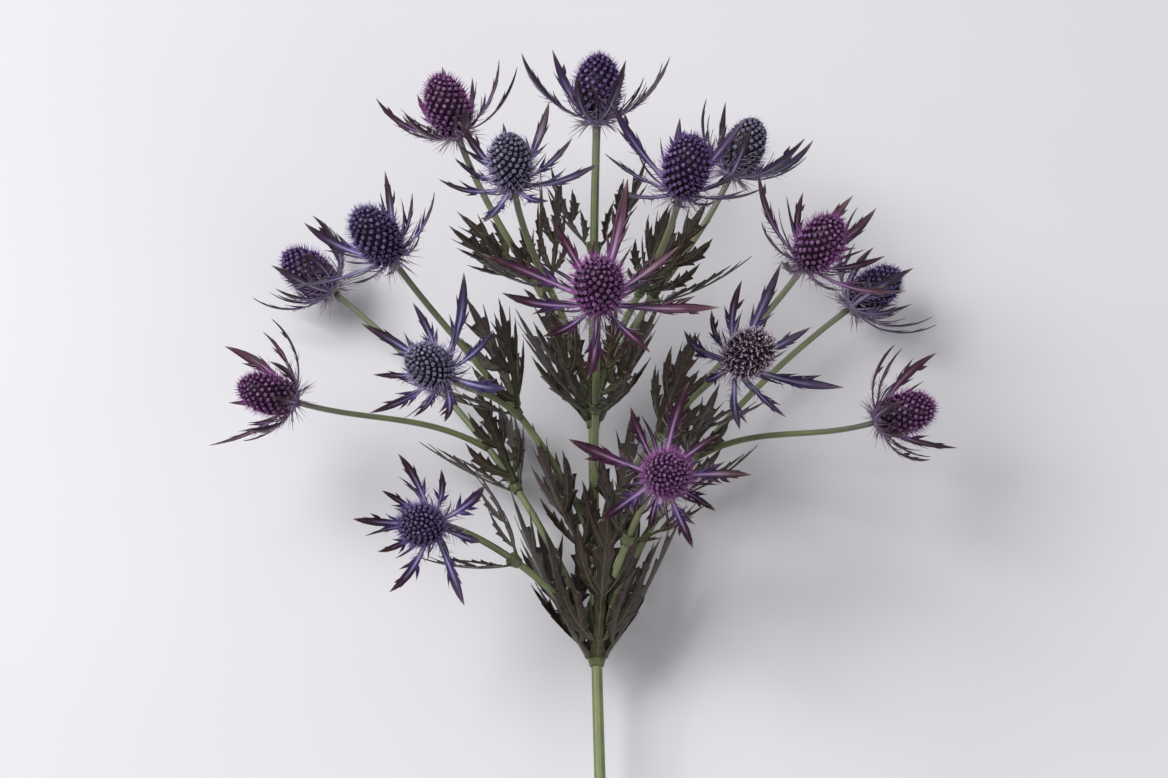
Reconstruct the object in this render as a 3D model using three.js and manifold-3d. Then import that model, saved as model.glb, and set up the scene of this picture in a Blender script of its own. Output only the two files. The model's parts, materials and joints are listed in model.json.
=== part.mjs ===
// A cut stem of sea holly, laid on a table: one eight-sided green stem that forks at three nodes into
// a wide spray, a thimble-shaped head of crowded florets at the end of every branch, a star of toothed
// bracts under each head, and whorls of lobed spiny leaves at the forks and below the heads.
//
// Millimetres. +Y runs from the cut end to the tip of the spray, +Z is up from the table, and the
// origin is on the table under the middle of the laid stem. The stem lies on three points: the rim of
// its cut end, and the lowest bract of a head on its left and of a head on its right.

import * as THREE from 'three';
import Module from 'manifold-3d';

// ---------------------------------------------------------------- driving dimensions

const CUT_END = [12, 0];                    // x and y of the middle of the cut end
const MIDDLE = [-0.7, 221];                 // the point under the middle of the laid stem
const CUT_SLOPE = 12;                       // degrees that the stem climbs from the table at its cut end
const CUT_HEADING = -3;                     // degrees from +Y towards +X that it sets out at
const CUT_REACH = 165;                      // how far the stem keeps near that slope
const TIP_REACH = 110;                      // how far back from its own head it keeps to the head's axis
const BRANCH_REACH = 0.36;                  // the same for both ends of a branch, as a share of its span
const LEAVING = { parent: 0.55, span: 0.8 };  // how a branch sets out: along its parent, along its span
const STEM_RADIUS = { cut: 2.5, tip: 1.5 };
const BRANCH_RADIUS = { cut: 1.45, tip: 1.15 };
const TWIG_RADIUS = { cut: 1.2, tip: 1.0 };
const STEM_GRID = { sides: 8, steps: 15 };
const BRANCH_GRID = { sides: 6, steps: 5 };

const GAP = 0.3;                            // between one sub-part and the next
const FINEST = 0.03;                        // edges shorter than this are closed up
const HEAD_TURN = 0.7;                      // radians that each head is turned on from the one before

// The egg of florets: `widest` is a share of its height, `relief` and `lift` are how far a floret
// stands out and up from the furrows, and `peak` is how far the top one stands above the egg.
const HEAD = { radius: 6.8, height: 20.5, foot: 3.6, widest: 0.42, relief: 1.3, lift: 0.5, peak: 0.6 };
const FLORETS = { columns: 14, rows: 9, lower: 3, twist: 0.35 };

const CUP = { radius: 4.6, foot: 3.4, height: 3.1 };

// Bracts and leaves bend from a first slope to a last one, in degrees. A bract's slopes grow with how
// far its head is open, and every other bract is short. A stray is how far single ones differ: turn,
// length and sweep as shares, and slopes in degrees.
const BRACT = { count: 9, length: 34, short: 0.74, root: 2.95, seat: 1.85, thick: 0.85 };
const BRACT_BEND = { from: 4, fromOpen: 0.12, toOpen: 1.75 };
const BRACT_STRAY = { turn: 0.16, length: 0.14, from: 3, to: 9, sweep: 0.1 };
const SPINE = { count: 5, length: 10, radius: 0.4, root: 2.9, seat: 1.5, dip: 0.15 };
const SPINE_STRAY = { turn: 0.15, length: 0.25, dip: 0.3 };
const LEAF = { thick: 0.9, sunk: 0.7 };
const LEAF_BEND = { from: -8, to: 14 };
const LEAF_STRAY = { turn: 0.08, length: 0.1, to: 8, sweep: 0.06 };
const COLLAR = { wall: 1.3, height: 3.4, slack: 0.1 };

// Where the stem forks, as a share of its own length.
const FORK = { low: 0.48, middle: 0.57, high: 0.7 };

// One row for each branch and the head that it carries. Row 0 is the tip of the stem itself.
//   from     'stem', or the number of the branch that this one leaves
//   at       the share of the parent's length where it leaves
//   base     where the head sits, with y from the cut end; z null means that its lowest bract rests on
//            the table
//   heading  degrees round from +Y towards +X, and rise, degrees above the table: the way the head faces
//   size     of the head, 1 being the common size
//   open     degrees that its bracts stand above square to the head: low is a flat star, high is a cup
const SPRAY = [
  { from: null, at: 0, base: [4, 405, 74], heading: 2, rise: 30, size: 1.06, open: 44 },
  { from: 'stem', at: FORK.high, base: [-46, 391, 92], heading: -24, rise: 42, size: 1.0, open: 40 },
  { from: 'stem', at: FORK.high, base: [53, 389, 62], heading: 28, rise: 26, size: 0.98, open: 48 },
  { from: 'stem', at: FORK.high, base: [33, 358, 112], heading: 20, rise: 60, size: 1.04, open: 30 },
  { from: 'stem', at: FORK.high, base: [-25, 355, 125], heading: -14, rise: 66, size: 0.96, open: 28 },
  { from: 'stem', at: FORK.middle, base: [4, 304, 140], heading: 5, rise: 84, size: 1.08, open: 20 },
  { from: 'stem', at: FORK.middle, base: [-68, 338, 102], heading: -50, rise: 55, size: 1.02, open: 32 },
  { from: 'stem', at: FORK.middle, base: [77, 339, 93], heading: 48, rise: 52, size: 1.0, open: 34 },
  { from: 'stem', at: FORK.low, base: [-95, 361, null], heading: -52, rise: 10, size: 1.0, open: 48 },
  { from: 'stem', at: FORK.low, base: [99, 354, null], heading: 54, rise: 10, size: 0.98, open: 48 },
  { from: 'stem', at: FORK.low, base: [26, 256, 102], heading: 150, rise: 74, size: 0.98, open: 26 },
  { from: 8, at: 0.5, base: [-104, 300, 62], heading: -84, rise: 30, size: 0.92, open: 44 },
  { from: 9, at: 0.5, base: [104, 293, 60], heading: 84, rise: 30, size: 0.94, open: 42 },
  { from: 6, at: 0.4, base: [-49, 290, 112], heading: -95, rise: 66, size: 0.92, open: 28 },
  { from: 7, at: 0.4, base: [51, 294, 112], heading: 92, rise: 66, size: 0.94, open: 30 },
  { from: 'stem', at: FORK.low, base: [-53, 247, 80], heading: -135, rise: 62, size: 0.92, open: 32 },
];

// Leaf whorls: which branch carries each, the share of its length that they stand just short of, and
// their leaves, turned so that none of them points straight down.
const WHORL_SHORT = 5;
const WHORLS = [
  { on: 'stem', at: FORK.low, leaves: 5, length: 62, turn: 18, open: 62 },
  { on: 'stem', at: FORK.middle, leaves: 4, length: 56, turn: 45, open: 58 },
  { on: 'stem', at: FORK.high, leaves: 4, length: 54, turn: 45, open: 57 },
  { on: 'stem', at: 0.88, leaves: 2, length: 36, turn: 20, open: 54 },
  { on: 1, at: 0.52, leaves: 3, length: 42, turn: 30, open: 56 },
  { on: 2, at: 0.52, leaves: 3, length: 40, turn: 90, open: 56 },
  { on: 3, at: 0.6, leaves: 2, length: 34, turn: 60, open: 56 },
  { on: 4, at: 0.6, leaves: 2, length: 34, turn: 0, open: 56 },
  { on: 5, at: 0.55, leaves: 3, length: 40, turn: 45, open: 56 },
  { on: 6, at: 0.47, leaves: 3, length: 44, turn: 75, open: 56 },
  { on: 7, at: 0.4, leaves: 3, length: 46, turn: 90, open: 54 },
  { on: 8, at: 0.42, leaves: 3, length: 41, turn: 90, open: 65 },
  { on: 9, at: 0.42, leaves: 3, length: 43, turn: 90, open: 62 },
  { on: 10, at: 0.55, leaves: 2, length: 34, turn: 0, open: 56 },
  { on: 15, at: 0.55, leaves: 2, length: 34, turn: 0, open: 56 },
];

// Edge of a blade from root to tip: the share of its length, and the half width and the forward lean
// of the edge there as shares of its length. A wide point before a narrow one is a tooth or a lobe.
const BRACT_EDGE = [
  { along: 0.0, half: 0.03, lean: 0 },
  { along: 0.33, half: 0.037, lean: 0 },
  { along: 0.5, half: 0.088, lean: 0 },
  { along: 0.54, half: 0.054, lean: 0 },
  { along: 0.7, half: 0.07, lean: 0 },
  { along: 0.75, half: 0.036, lean: 0 },
];
const SHORT_BRACT_EDGE = [
  { along: 0.0, half: 0.04, lean: 0 },
  { along: 0.56, half: 0.085, lean: 0 },
  { along: 0.63, half: 0.05, lean: 0 },
];
const LEAF_EDGE = [
  { along: 0.0, half: 0.045, lean: 0 },
  { along: 0.2, half: 0.05, lean: 0 },
  { along: 0.28, half: 0.25, lean: 0.23 },
  { along: 0.37, half: 0.055, lean: 0 },
  { along: 0.53, half: 0.18, lean: 0.21 },
  { along: 0.62, half: 0.05, lean: 0 },
  { along: 0.73, half: 0.1, lean: 0.12 },
  { along: 0.79, half: 0.036, lean: 0 },
];

// ---------------------------------------------------------------- small helpers

const wasm = await Module();
wasm.setup();

const X = new THREE.Vector3(1, 0, 0);
const Z = new THREE.Vector3(0, 0, 1);
const radians = THREE.MathUtils.degToRad;
const { sin, cos, PI } = Math;

// A repeatable wobble from -1 to 1, different for every pair of numbers.
const wobble = (i, j) => sin(12.9898 * i + 78.233 * j + 4.1);

// The direction that faces a heading, in degrees from +Y towards +X, at a rise above the table.
function facing(heading, rise) {
  const [turn, climb] = [radians(heading), radians(rise)];
  return new THREE.Vector3(cos(climb) * sin(turn), cos(climb) * cos(turn), sin(climb));
}

// Two unit vectors square to an axis, the first as near to level as it can be.
function squareTo(axis) {
  const across = new THREE.Vector3().crossVectors(axis, Z);
  if (across.lengthSq() < 1e-6) across.copy(X);
  across.normalize();
  return { across, above: new THREE.Vector3().crossVectors(across, axis).normalize() };
}

// The unit vector at an angle round an axis, counted from its level side.
function round(axis, angle) {
  const { across, above } = squareTo(axis);
  return across.multiplyScalar(cos(angle)).addScaledVector(above, sin(angle));
}

const times = (count, make) => Array.from({ length: count }, (_, i) => make(i));

// A ring of points square to an axis, with the middle of one side on the level.
function polygon(centre, axis, radius, sides) {
  return times(sides, (j) => round(axis, (j + 0.5) * 2 * PI / sides).multiplyScalar(radius).add(centre));
}

// A closed skin over rings of points, all of equal count and each running clockwise as seen from the
// tip. The first ring is closed by a fan, the last by a fan to the tip. `steep(i, j)` says which way
// the four-sided patch after ring i and column j is split in two.
function skin(rings, tip, steep = () => false) {
  const count = rings[0].length;
  const root = rings.length * count;
  const middle = rings[0].reduce((sum, p) => sum.add(p), new THREE.Vector3()).divideScalar(count);
  const faces = bands(count, rings.length - 1, steep);
  const last = root - count;
  for (let j = 0; j < count; j++) {
    const k = (j + 1) % count;
    faces.push(root, j, k);
    faces.push(last + j, root + 1, last + k);
  }
  return new THREE.BufferGeometry().setFromPoints([...rings.flat(), middle, tip]).setIndex(faces);
}

// A closed ring with a bore: rings of points that run out over the outside and back through the bore.
function sleeve(rings) {
  const points = rings.flat();
  const faces = bands(rings[0].length, rings.length, () => false).map((n) => n % points.length);
  return new THREE.BufferGeometry().setFromPoints(points).setIndex(faces);
}

// The triangles of the bands between one ring of points and the next.
function bands(count, number, steep) {
  const faces = [];
  for (let i = 0; i < number; i++) {
    for (let j = 0; j < count; j++) {
      const k = (j + 1) % count;
      const [a, b, c, d] = [i * count + j, i * count + k, (i + 1) * count + k, (i + 1) * count + j];
      if (steep(i, j)) faces.push(a, c, b, a, d, c);
      else faces.push(a, d, b, b, d, c);
    }
  }
  return faces;
}

// A closed indexed geometry as a solid, and a solid's largest piece back as a geometry, its slivers
// closed up.
function solid(geometry) {
  return new wasm.Manifold(new wasm.Mesh({
    numProp: 3,
    vertProperties: geometry.attributes.position.array,
    triVerts: new Uint32Array(geometry.index.array),
  }));
}

function geometryOf(made) {
  const [largest] = made.decompose().sort((a, b) => b.volume() - a.volume());
  const mesh = largest.asOriginal().simplify(FINEST).getMesh();
  return new THREE.BufferGeometry()
    .setAttribute('position', new THREE.BufferAttribute(mesh.vertProperties, 3))
    .setIndex(new THREE.BufferAttribute(mesh.triVerts, 1));
}

const whole = (solids) => solids.reduce((made, next) => made.add(next));
const fuse = (geometries) => whole(geometries.map(solid));

// ---------------------------------------------------------------- blades, for bracts and leaves

// The middle line of a blade that leaves `root` along `out` and bends up towards `up`: its slope runs
// evenly from `from` to `to` radians, and it drifts sideways by `sweep` of its length.
function bladeLine({ root, out, up, length, from, to, sweep }) {
  const aside = new THREE.Vector3().crossVectors(up, out);
  return (u) => {
    const slope = from + (to - from) * u;
    const point = root.clone()
      .addScaledVector(out, length * (sin(slope) - sin(from)) / (to - from))
      .addScaledVector(up, length * (cos(from) - cos(slope)) / (to - from))
      .addScaledVector(aside, length * sweep * u * u);
    const along = out.clone().multiplyScalar(cos(slope)).addScaledVector(up, sin(slope))
      .addScaledVector(aside, 2 * sweep * u).normalize();
    const back = out.clone().multiplyScalar(-sin(slope)).addScaledVector(up, cos(slope));
    const side = new THREE.Vector3().crossVectors(along, back).normalize();
    return { point, along, side, face: new THREE.Vector3().crossVectors(side, along) };
  };
}

// A toothed blade on that line. With no lean in its edge the underside is one flat strip, and the
// section a low triangle; otherwise the section is a low diamond, so that leaning teeth stay sound.
function blade(shape, edge, thick) {
  const line = bladeLine(shape);
  const leans = edge.some((row) => row.lean);
  const rings = edge.map(({ along: u, half, lean }) => {
    const { point, along, side, face } = line(u);
    const reach = (sign) => point.clone()
      .addScaledVector(side, sign * half * shape.length)
      .addScaledVector(along, lean * shape.length);
    const ridge = point.clone().addScaledVector(face, thick * (leans ? 0.5 : 1));
    const keel = point.clone().addScaledVector(face, -thick * 0.5);
    return leans ? [reach(1), ridge, reach(-1), keel] : [reach(1), ridge, reach(-1)];
  });
  return skin(rings, line(1).point, (i, j) => j % 2 === 1);
}

// ---------------------------------------------------------------- the star of bracts under a head

// Bract k of head h, as the line that it follows from the cup under the head.
function bractShape(h, k, axis) {
  const { size, open } = SPRAY[h];
  const turn = 2 * PI * (k + BRACT_STRAY.turn * wobble(k, h)) / BRACT.count + HEAD_TURN * h;
  const out = round(axis, turn);
  return {
    root: axis.clone().multiplyScalar(size * BRACT.seat).addScaledVector(out, size * BRACT.root),
    out,
    up: axis,
    length: size * BRACT.length * (k % 2 ? BRACT.short : 1) * (1 + BRACT_STRAY.length * wobble(k + 3, h)),
    from: radians(BRACT_BEND.from + BRACT_BEND.fromOpen * open + BRACT_STRAY.from * wobble(k + 7, h)),
    to: radians(BRACT_BEND.toOpen * open + BRACT_STRAY.to * wobble(k + 11, h)),
    sweep: BRACT_STRAY.sweep * wobble(k + 5, h),
  };
}

// The height that rests a head's lowest bract tip on the table.
function restingHeight(h, axis) {
  const tips = times(BRACT.count, (k) => bladeLine(bractShape(h, k, axis))(1).point.z);
  return -Math.min(...tips);
}

// A short stiff spine that stands out from the foot of the cup, as a three-sided needle.
function spine(h, k, axis) {
  const { size } = SPRAY[h];
  const turn = 2 * PI * (k + 0.5 + SPINE_STRAY.turn * wobble(k, h + 20)) / SPINE.count + HEAD_TURN * h;
  const out = round(axis, turn);
  const dip = SPINE.dip + SPINE_STRAY.dip * wobble(k + 2, h);
  const way = out.clone().multiplyScalar(cos(dip)).addScaledVector(axis, -sin(dip));
  const root = axis.clone().multiplyScalar(size * SPINE.seat).addScaledVector(out, size * SPINE.root);
  const ring = times(3, (i) => round(way, i * 2 * PI / 3).multiplyScalar(size * SPINE.radius).add(root));
  const length = size * SPINE.length * (1 + SPINE_STRAY.length * wobble(k + 4, h));
  return skin([ring], root.clone().addScaledVector(way, length));
}

// The shallow cup that the florets sit in, widening from the stalk, with one flat side for each bract.
function cup(h, axis) {
  const { size } = SPRAY[h];
  const profile = [[CUP.foot, GAP], [CUP.radius, CUP.height]];
  const rings = profile.map(([radius, height]) => times(BRACT.count, (j) => {
    const turn = 2 * PI * (j + 0.5) / BRACT.count + HEAD_TURN * h;
    return round(axis, turn).multiplyScalar(size * radius).addScaledVector(axis, size * height);
  }));
  return skin(rings, axis.clone().multiplyScalar(size * CUP.height));
}

function starOfBracts(h, axis) {
  const thick = SPRAY[h].size * BRACT.thick;
  const bracts = times(BRACT.count, (k) => {
    return blade(bractShape(h, k, axis), k % 2 ? SHORT_BRACT_EDGE : BRACT_EDGE, thick);
  });
  const spines = times(SPINE.count, (k) => spine(h, k, axis));
  return fuse([cup(h, axis), ...bracts, ...spines]);
}

// ---------------------------------------------------------------- the head of florets

// Radius of the head at a share of its height: an egg, widest below its middle, on a narrower foot.
function headRadius(share) {
  const { radius, foot, widest } = HEAD;
  const arc = (part) => Math.sqrt(Math.max(0, 1 - part * part));
  if (share > widest) return radius * arc((share - widest) / (1 - widest));
  return foot + (radius - foot) * arc((widest - share) / widest);
}

// The share of the head's height that row i of florets stands at: evenly up to the widest row, then
// spaced by angle over the dome.
function rowShare(i) {
  const { widest } = HEAD;
  const above = i - FLORETS.lower;
  if (above < 0) return widest + widest * above / FLORETS.lower;
  return widest + (1 - widest) * sin(above / (FLORETS.rows - FLORETS.lower) * PI / 2);
}

// Points stand out and sink in turn on a chequered grid, so that every raised one is a pointed floret
// with a furrow round it. Each row is turned on a little for the spiral.
function headOfFlorets(h, axis) {
  const { size } = SPRAY[h];
  const foot = CUP.height + GAP;
  const rings = times(FLORETS.rows, (i) => times(FLORETS.columns, (j) => {
    const raised = (i + j) % 2 === 0 && i > 0;
    const turn = 2 * PI * (j + FLORETS.twist * i) / FLORETS.columns;
    const radius = headRadius(rowShare(i)) + (raised ? HEAD.relief : 0);
    const height = foot + rowShare(i) * HEAD.height + (raised ? HEAD.lift : 0);
    return round(axis, turn).multiplyScalar(size * radius).addScaledVector(axis, size * height);
  }));
  const top = axis.clone().multiplyScalar(size * (foot + HEAD.height + HEAD.peak));
  return solid(skin(rings, top, (i, j) => (i + j) % 2 === 1));
}

// ---------------------------------------------------------------- stem and branches

// The stem's curve from its cut end, which stands on the table on the lowest of its sides, to its head.
function stemCurve(seat, axis) {
  const flat = cos(PI / STEM_GRID.sides);
  const start = new THREE.Vector3(...CUT_END, STEM_RADIUS.cut * flat * cos(radians(CUT_SLOPE)));
  const first = start.clone().addScaledVector(facing(CUT_HEADING, CUT_SLOPE), CUT_REACH);
  const last = seat.clone().addScaledVector(axis, -TIP_REACH);
  return new THREE.CubicBezierCurve3(start, first, last, seat);
}

// A branch's curve from its fork, where it leaves part way between its parent's course and its own.
function branchCurve(parent, at, seat, axis) {
  const start = parent.getPoint(at);
  const span = seat.distanceTo(start);
  const ahead = seat.clone().sub(start).normalize();
  const leave = parent.getTangent(at).multiplyScalar(LEAVING.parent).addScaledVector(ahead, LEAVING.span);
  const first = start.clone().addScaledVector(leave.normalize(), BRANCH_REACH * span);
  const last = seat.clone().addScaledVector(axis, -BRANCH_REACH * span);
  return new THREE.CubicBezierCurve3(start, first, last, seat);
}

// Every branch with its head's axis and seat. Branches come after the one that they leave.
function growSpray() {
  const branches = [];
  SPRAY.forEach((row, h) => {
    const axis = facing(row.heading, row.rise);
    const [x, y, z] = row.base;
    const seat = new THREE.Vector3(x, y, z ?? restingHeight(h, axis));
    const curve = row.from === null ? stemCurve(seat, axis)
      : branchCurve(branches[numberOf(row.from)].curve, row.at, seat, axis);
    const grid = row.from === null ? STEM_GRID : BRANCH_GRID;
    branches.push({ axis, seat, curve, grid, radius: radiusOf(row.from) });
  });
  return branches;
}

const numberOf = (name) => (name === 'stem' ? 0 : name);

// The radii at the two ends of a branch that leaves `from`.
function radiusOf(from) {
  if (from === null) return STEM_RADIUS;
  return from === 'stem' ? BRANCH_RADIUS : TWIG_RADIUS;
}

const radiusAt = ({ radius }, u) => THREE.MathUtils.lerp(radius.cut, radius.tip, u);

// A tapering rod on a branch's curve, thicker by `grow` all over.
function rod(branch, grow) {
  const { sides, steps } = branch.grid;
  const rings = times(steps + 1, (i) => {
    const centre = branch.curve.getPoint(i / steps);
    const way = branch.curve.getTangent(i / steps);
    return polygon(centre, way, radiusAt(branch, i / steps) + grow, sides);
  });
  return skin(rings, branch.curve.getPoint(1));
}

// ---------------------------------------------------------------- leaf whorls

// The leaves of a whorl and the collar that joins them round the stem.
function leafWhorl(whorl, number, branch) {
  const at = whorl.at - WHORL_SHORT / branch.curve.getLength();
  const centre = branch.curve.getPoint(at);
  const way = branch.curve.getTangent(at);
  const bore = radiusAt(branch, at) + GAP + COLLAR.slack;
  const wall = bore + COLLAR.wall;
  const profile = [[bore, -0.5], [wall, -0.5], [wall, 0.5], [bore, 0.5]];
  const collar = sleeve(profile.map(([radius, share]) => polygon(
    centre.clone().addScaledVector(way, share * COLLAR.height), way, radius, branch.grid.sides)));
  const leaves = times(whorl.leaves, (k) => {
    const stray = LEAF_STRAY.turn * wobble(k, number + 40);
    const out = round(way, 2 * PI * (k + stray) / whorl.leaves + radians(whorl.turn));
    const shape = {
      root: centre.clone().addScaledVector(out, bore + LEAF.sunk),
      out,
      up: way,
      length: whorl.length * (1 + LEAF_STRAY.length * wobble(k + 6, number)),
      from: radians(whorl.open + LEAF_BEND.from),
      to: radians(whorl.open + LEAF_BEND.to + LEAF_STRAY.to * wobble(k + 2, number)),
      sweep: LEAF_STRAY.sweep * wobble(k + 9, number),
    };
    return blade(shape, LEAF_EDGE, LEAF.thick);
  });
  return fuse([collar, ...leaves]);
}

// ---------------------------------------------------------------- colours and assembly

const finish = (color, roughness) => new THREE.MeshStandardMaterial({ color, roughness, metalness: 0 });
const FINISH = {
  stem: finish(0x6f8a3e, 0.55),
  florets: finish(0x4b2f6b, 0.75),
  bracts: finish(0x5b3f86, 0.5),
  leaves: finish(0x33202c, 0.55),
};

const two = (n) => String(n).padStart(2, '0');

function named(name, made, material) {
  const mesh = new THREE.Mesh(geometryOf(made), material);
  mesh.name = name;
  return mesh;
}

const seaHolly = new THREE.Group();
const branches = growSpray();

seaHolly.add(named('stem', whole(branches.map((branch) => solid(rod(branch, 0)))), FINISH.stem));

branches.forEach(({ axis, seat }, h) => {
  const star = named(`bracts_${two(h + 1)}`, starOfBracts(h, axis), FINISH.bracts);
  const head = named(`head_${two(h + 1)}`, headOfFlorets(h, axis), FINISH.florets);
  star.position.copy(seat);
  head.position.copy(seat);
  seaHolly.add(star, head);
});

const clearance = whole(branches.map((branch) => solid(rod(branch, GAP))));

WHORLS.forEach((whorl, number) => {
  const made = leafWhorl(whorl, number, branches[numberOf(whorl.on)]).subtract(clearance);
  seaHolly.add(named(`leaves_${two(number + 1)}`, made, FINISH.leaves));
});

seaHolly.position.set(-MIDDLE[0], -MIDDLE[1], 0);

export default seaHolly;
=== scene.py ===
"""Dresses a cut stem of sea holly that lies on a table.

The stalk forks into a wide spray. Every branch ends in a thimble-shaped head of crowded florets on a
ruff of spiny bracts, and whorls of toothed leaves stand at the forks and part way along the branches.
Shapes are worked out in millimetres, on a drawing whose axes run as the frame's, and put into the
meshes in metres from the frame's origin.
"""

import json
import logging
from collections.abc import Callable
from dataclasses import dataclass, field, fields, replace
from enum import Enum

import bpy
import numpy as np
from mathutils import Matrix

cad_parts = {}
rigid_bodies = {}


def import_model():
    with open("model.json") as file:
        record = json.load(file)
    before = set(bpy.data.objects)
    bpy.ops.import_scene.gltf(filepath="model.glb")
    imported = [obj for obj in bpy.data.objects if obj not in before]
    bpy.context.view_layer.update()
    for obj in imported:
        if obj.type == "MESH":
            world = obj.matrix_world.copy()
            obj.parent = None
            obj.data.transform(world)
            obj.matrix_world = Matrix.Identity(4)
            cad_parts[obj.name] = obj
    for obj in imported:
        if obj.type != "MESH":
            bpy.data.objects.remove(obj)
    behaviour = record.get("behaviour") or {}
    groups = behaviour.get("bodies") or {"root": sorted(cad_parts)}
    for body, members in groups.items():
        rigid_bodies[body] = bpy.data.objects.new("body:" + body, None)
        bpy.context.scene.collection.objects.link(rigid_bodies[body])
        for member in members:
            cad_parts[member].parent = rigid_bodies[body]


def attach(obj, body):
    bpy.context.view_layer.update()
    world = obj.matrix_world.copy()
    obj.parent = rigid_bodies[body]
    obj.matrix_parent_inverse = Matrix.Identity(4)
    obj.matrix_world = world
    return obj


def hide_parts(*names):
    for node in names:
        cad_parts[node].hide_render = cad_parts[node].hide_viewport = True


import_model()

Array = np.ndarray
Pair = tuple[float, float]
Triple = tuple[float, float, float]
Material = bpy.types.Material
Tree = bpy.types.NodeTree
Node = bpy.types.Node
Socket = bpy.types.NodeSocket

LOG = logging.getLogger("sea_holly")
MM = 0.001
UP = np.array([0.0, 0.0, 1.0])
GOLDEN = np.pi * (3 - np.sqrt(5))

# The cut end's middle as the spray is drawn, and the point of that drawing that is the frame's origin.
CUT_END = (12.0, 0.0)
MIDDLE = (-0.7, 221.0, 0.0)

# The stem's slope and heading at the cut end, and how far its curve keeps to each end's course.
CUT_SLOPE, CUT_HEADING, CUT_REACH, TIP_REACH = 12.0, -3.0, 165.0, 110.0

# How far a branch's curve keeps to each end's course, as a share of the way between its ends, and how
# strongly it leaves along its parent and along its own way.
BRANCH_REACH, PARENT_PULL, OWN_PULL = 0.36, 0.55, 0.8

# The gap between two solids, the height of a cup, and that of a core's foot over the head's seat.
GAP, CUP_HEIGHT = 0.3, 3.1
FOOT_HEIGHT = CUP_HEIGHT + GAP

# The bracts of a ruff: number, length, short ones' share of it, and root's radius and height.
BRACTS, BRACT_REACH, BRACT_SHORT, BRACT_ROOT, BRACT_SEAT = 9, 34.0, 0.74, 2.95, 1.85

# The turn, in radians, by which a head's bracts are ahead of those of the last head.
HEAD_TURN = 0.7

# The last ring of a blade, and how far a tooth stands out at its rings in turn.
LAST_RING = 0.965
TOOTH_STEPS = (0.0, 0.12, 0.38, 1.0)

# Rings and sides of a needle, and the shares of its length whose colours the rings take.
NEEDLE_RINGS, NEEDLE_SIDES = 3, 3
NEEDLE_SHARES = np.array([0, 0.45, 0.9])

# The range that most of a soft noise keeps to.
NOISE_RANGE = (0.3, 0.7)


class Order(Enum):
    """Order of a branch, with the radii at its foot and at its head in millimetres."""

    STEM = (2.5, 1.5)
    BRANCH = (1.45, 1.15)
    TWIG = (1.2, 1.0)


class Mood(Enum):
    """Colouring of a head: its furrows, florets' rims and needles, and its ruff's cast and pale feet.

    The furrows' dark is partly the core's own colour and partly painted shade between the florets.
    """

    MAGENTA = ("#270c26", "#806187", "#964196", "#54203b", "#b585b4")
    VIOLET = ("#190b24", "#6b5682", "#6b4798", "#3d2a68", "#9c86b8")
    INDIGO = ("#170f26", "#685d82", "#68589b", "#3b3069", "#9089b8")
    SLATE = ("#191425", "#777790", "#a098c0", "#353a6a", "#9a9cbc")
    TAN = ("#150a19", "#4a3852", "#6c5588", "#382e5e", "#9a90b8")


def linear(code: str) -> Array:
    """Turns a colour code into linear red, green and blue.

    Args:
        code: The colour as "#rrggbb".

    Returns:
        Three linear values; each is ((c + 0.055) / 1.055) to the power 2.4.
    """
    parts = np.array([int(code[i : i + 2], 16) for i in (1, 3, 5)]) / 255
    return np.where(parts > 0.04045, ((parts + 0.055) / 1.055) ** 2.4, parts / 12.92)


def opaque(code: str) -> tuple[float, float, float, float]:
    """A colour code as linear red, green and blue with full cover."""
    return (*linear(code), 1.0)


def ramp(share: Array, stops: dict[float, str]) -> Array:
    """Blends colours along a share.

    Args:
        share: Where each point lies, from 0 to 1.
        stops: Colour codes by the share where they stand.

    Returns:
        Linear colours, with one more axis of three than `share`.
    """
    places = list(stops)
    colours = np.array([linear(code) for code in stops.values()])
    return np.stack([np.interp(share, places, colours[:, i]) for i in range(3)], axis=-1)


def blend(base: Array, other: Array, share: Array) -> Array:
    """Colours part of the way from one to another: base (1 - share) + other share."""
    share = share[..., None]
    return base * (1 - share) + other * share


def wobble(i: Array | float, j: Array | float) -> Array:
    """A repeatable stray from -1 to 1: the sine of 12.9898 i + 78.233 j + 4.1."""
    return np.sin(12.9898 * np.asarray(i, float) + 78.233 * np.asarray(j, float) + 4.1)


def scatter(i: Array | float, j: Array | float) -> Array:
    """A repeatable stray from -1 to 1 that jumps about: the share of one left by 43758.5453 sines."""
    wave = np.sin(12.9898 * np.asarray(i, float) + 78.233 * np.asarray(j, float))
    return 2 * np.mod(43758.5453 * wave, 1) - 1


def stray(i: Array, seed: int) -> Array:
    """A jumpy stray along each of the three axes, from three seeds in a row."""
    return np.stack([scatter(i, seed + axis) for axis in range(3)], axis=-1)


def unit(vectors: Array) -> Array:
    """Vectors of the same way and of length one."""
    return vectors / np.linalg.norm(vectors, axis=-1, keepdims=True)


def facing(heading: float, rise: float) -> Array:
    """The way of a heading, in degrees from +Y towards +X, at a rise above the table."""
    turn, climb = np.radians(heading), np.radians(rise)
    return np.array([np.cos(climb) * np.sin(turn), np.cos(climb) * np.cos(turn), np.sin(climb)])


def full_turn(count: int) -> Array:
    """Evenly spaced turns, anticlockwise, once round."""
    return np.linspace(0, 2 * np.pi, count, endpoint=False)


def level(turn: Array) -> Array:
    """The level way at each turn from +X towards +Y."""
    return np.stack([np.cos(turn), np.sin(turn), np.zeros_like(turn)], axis=-1)


def square_to(axis: Array) -> tuple[Array, Array]:
    """Two ways square to an axis: its cross product with +Z, and that crossed with the axis.

    Args:
        axis: The axis, or many of them. The first way of one that runs straight up is +X.

    Returns:
        The way across the axis, which is level, and the way above it.
    """
    across = np.cross(axis, UP)
    upright = np.linalg.norm(across, axis=-1, keepdims=True) < 1e-3
    across = unit(np.where(upright, [1.0, 0.0, 0.0], across))
    return across, unit(np.cross(across, axis))


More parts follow.
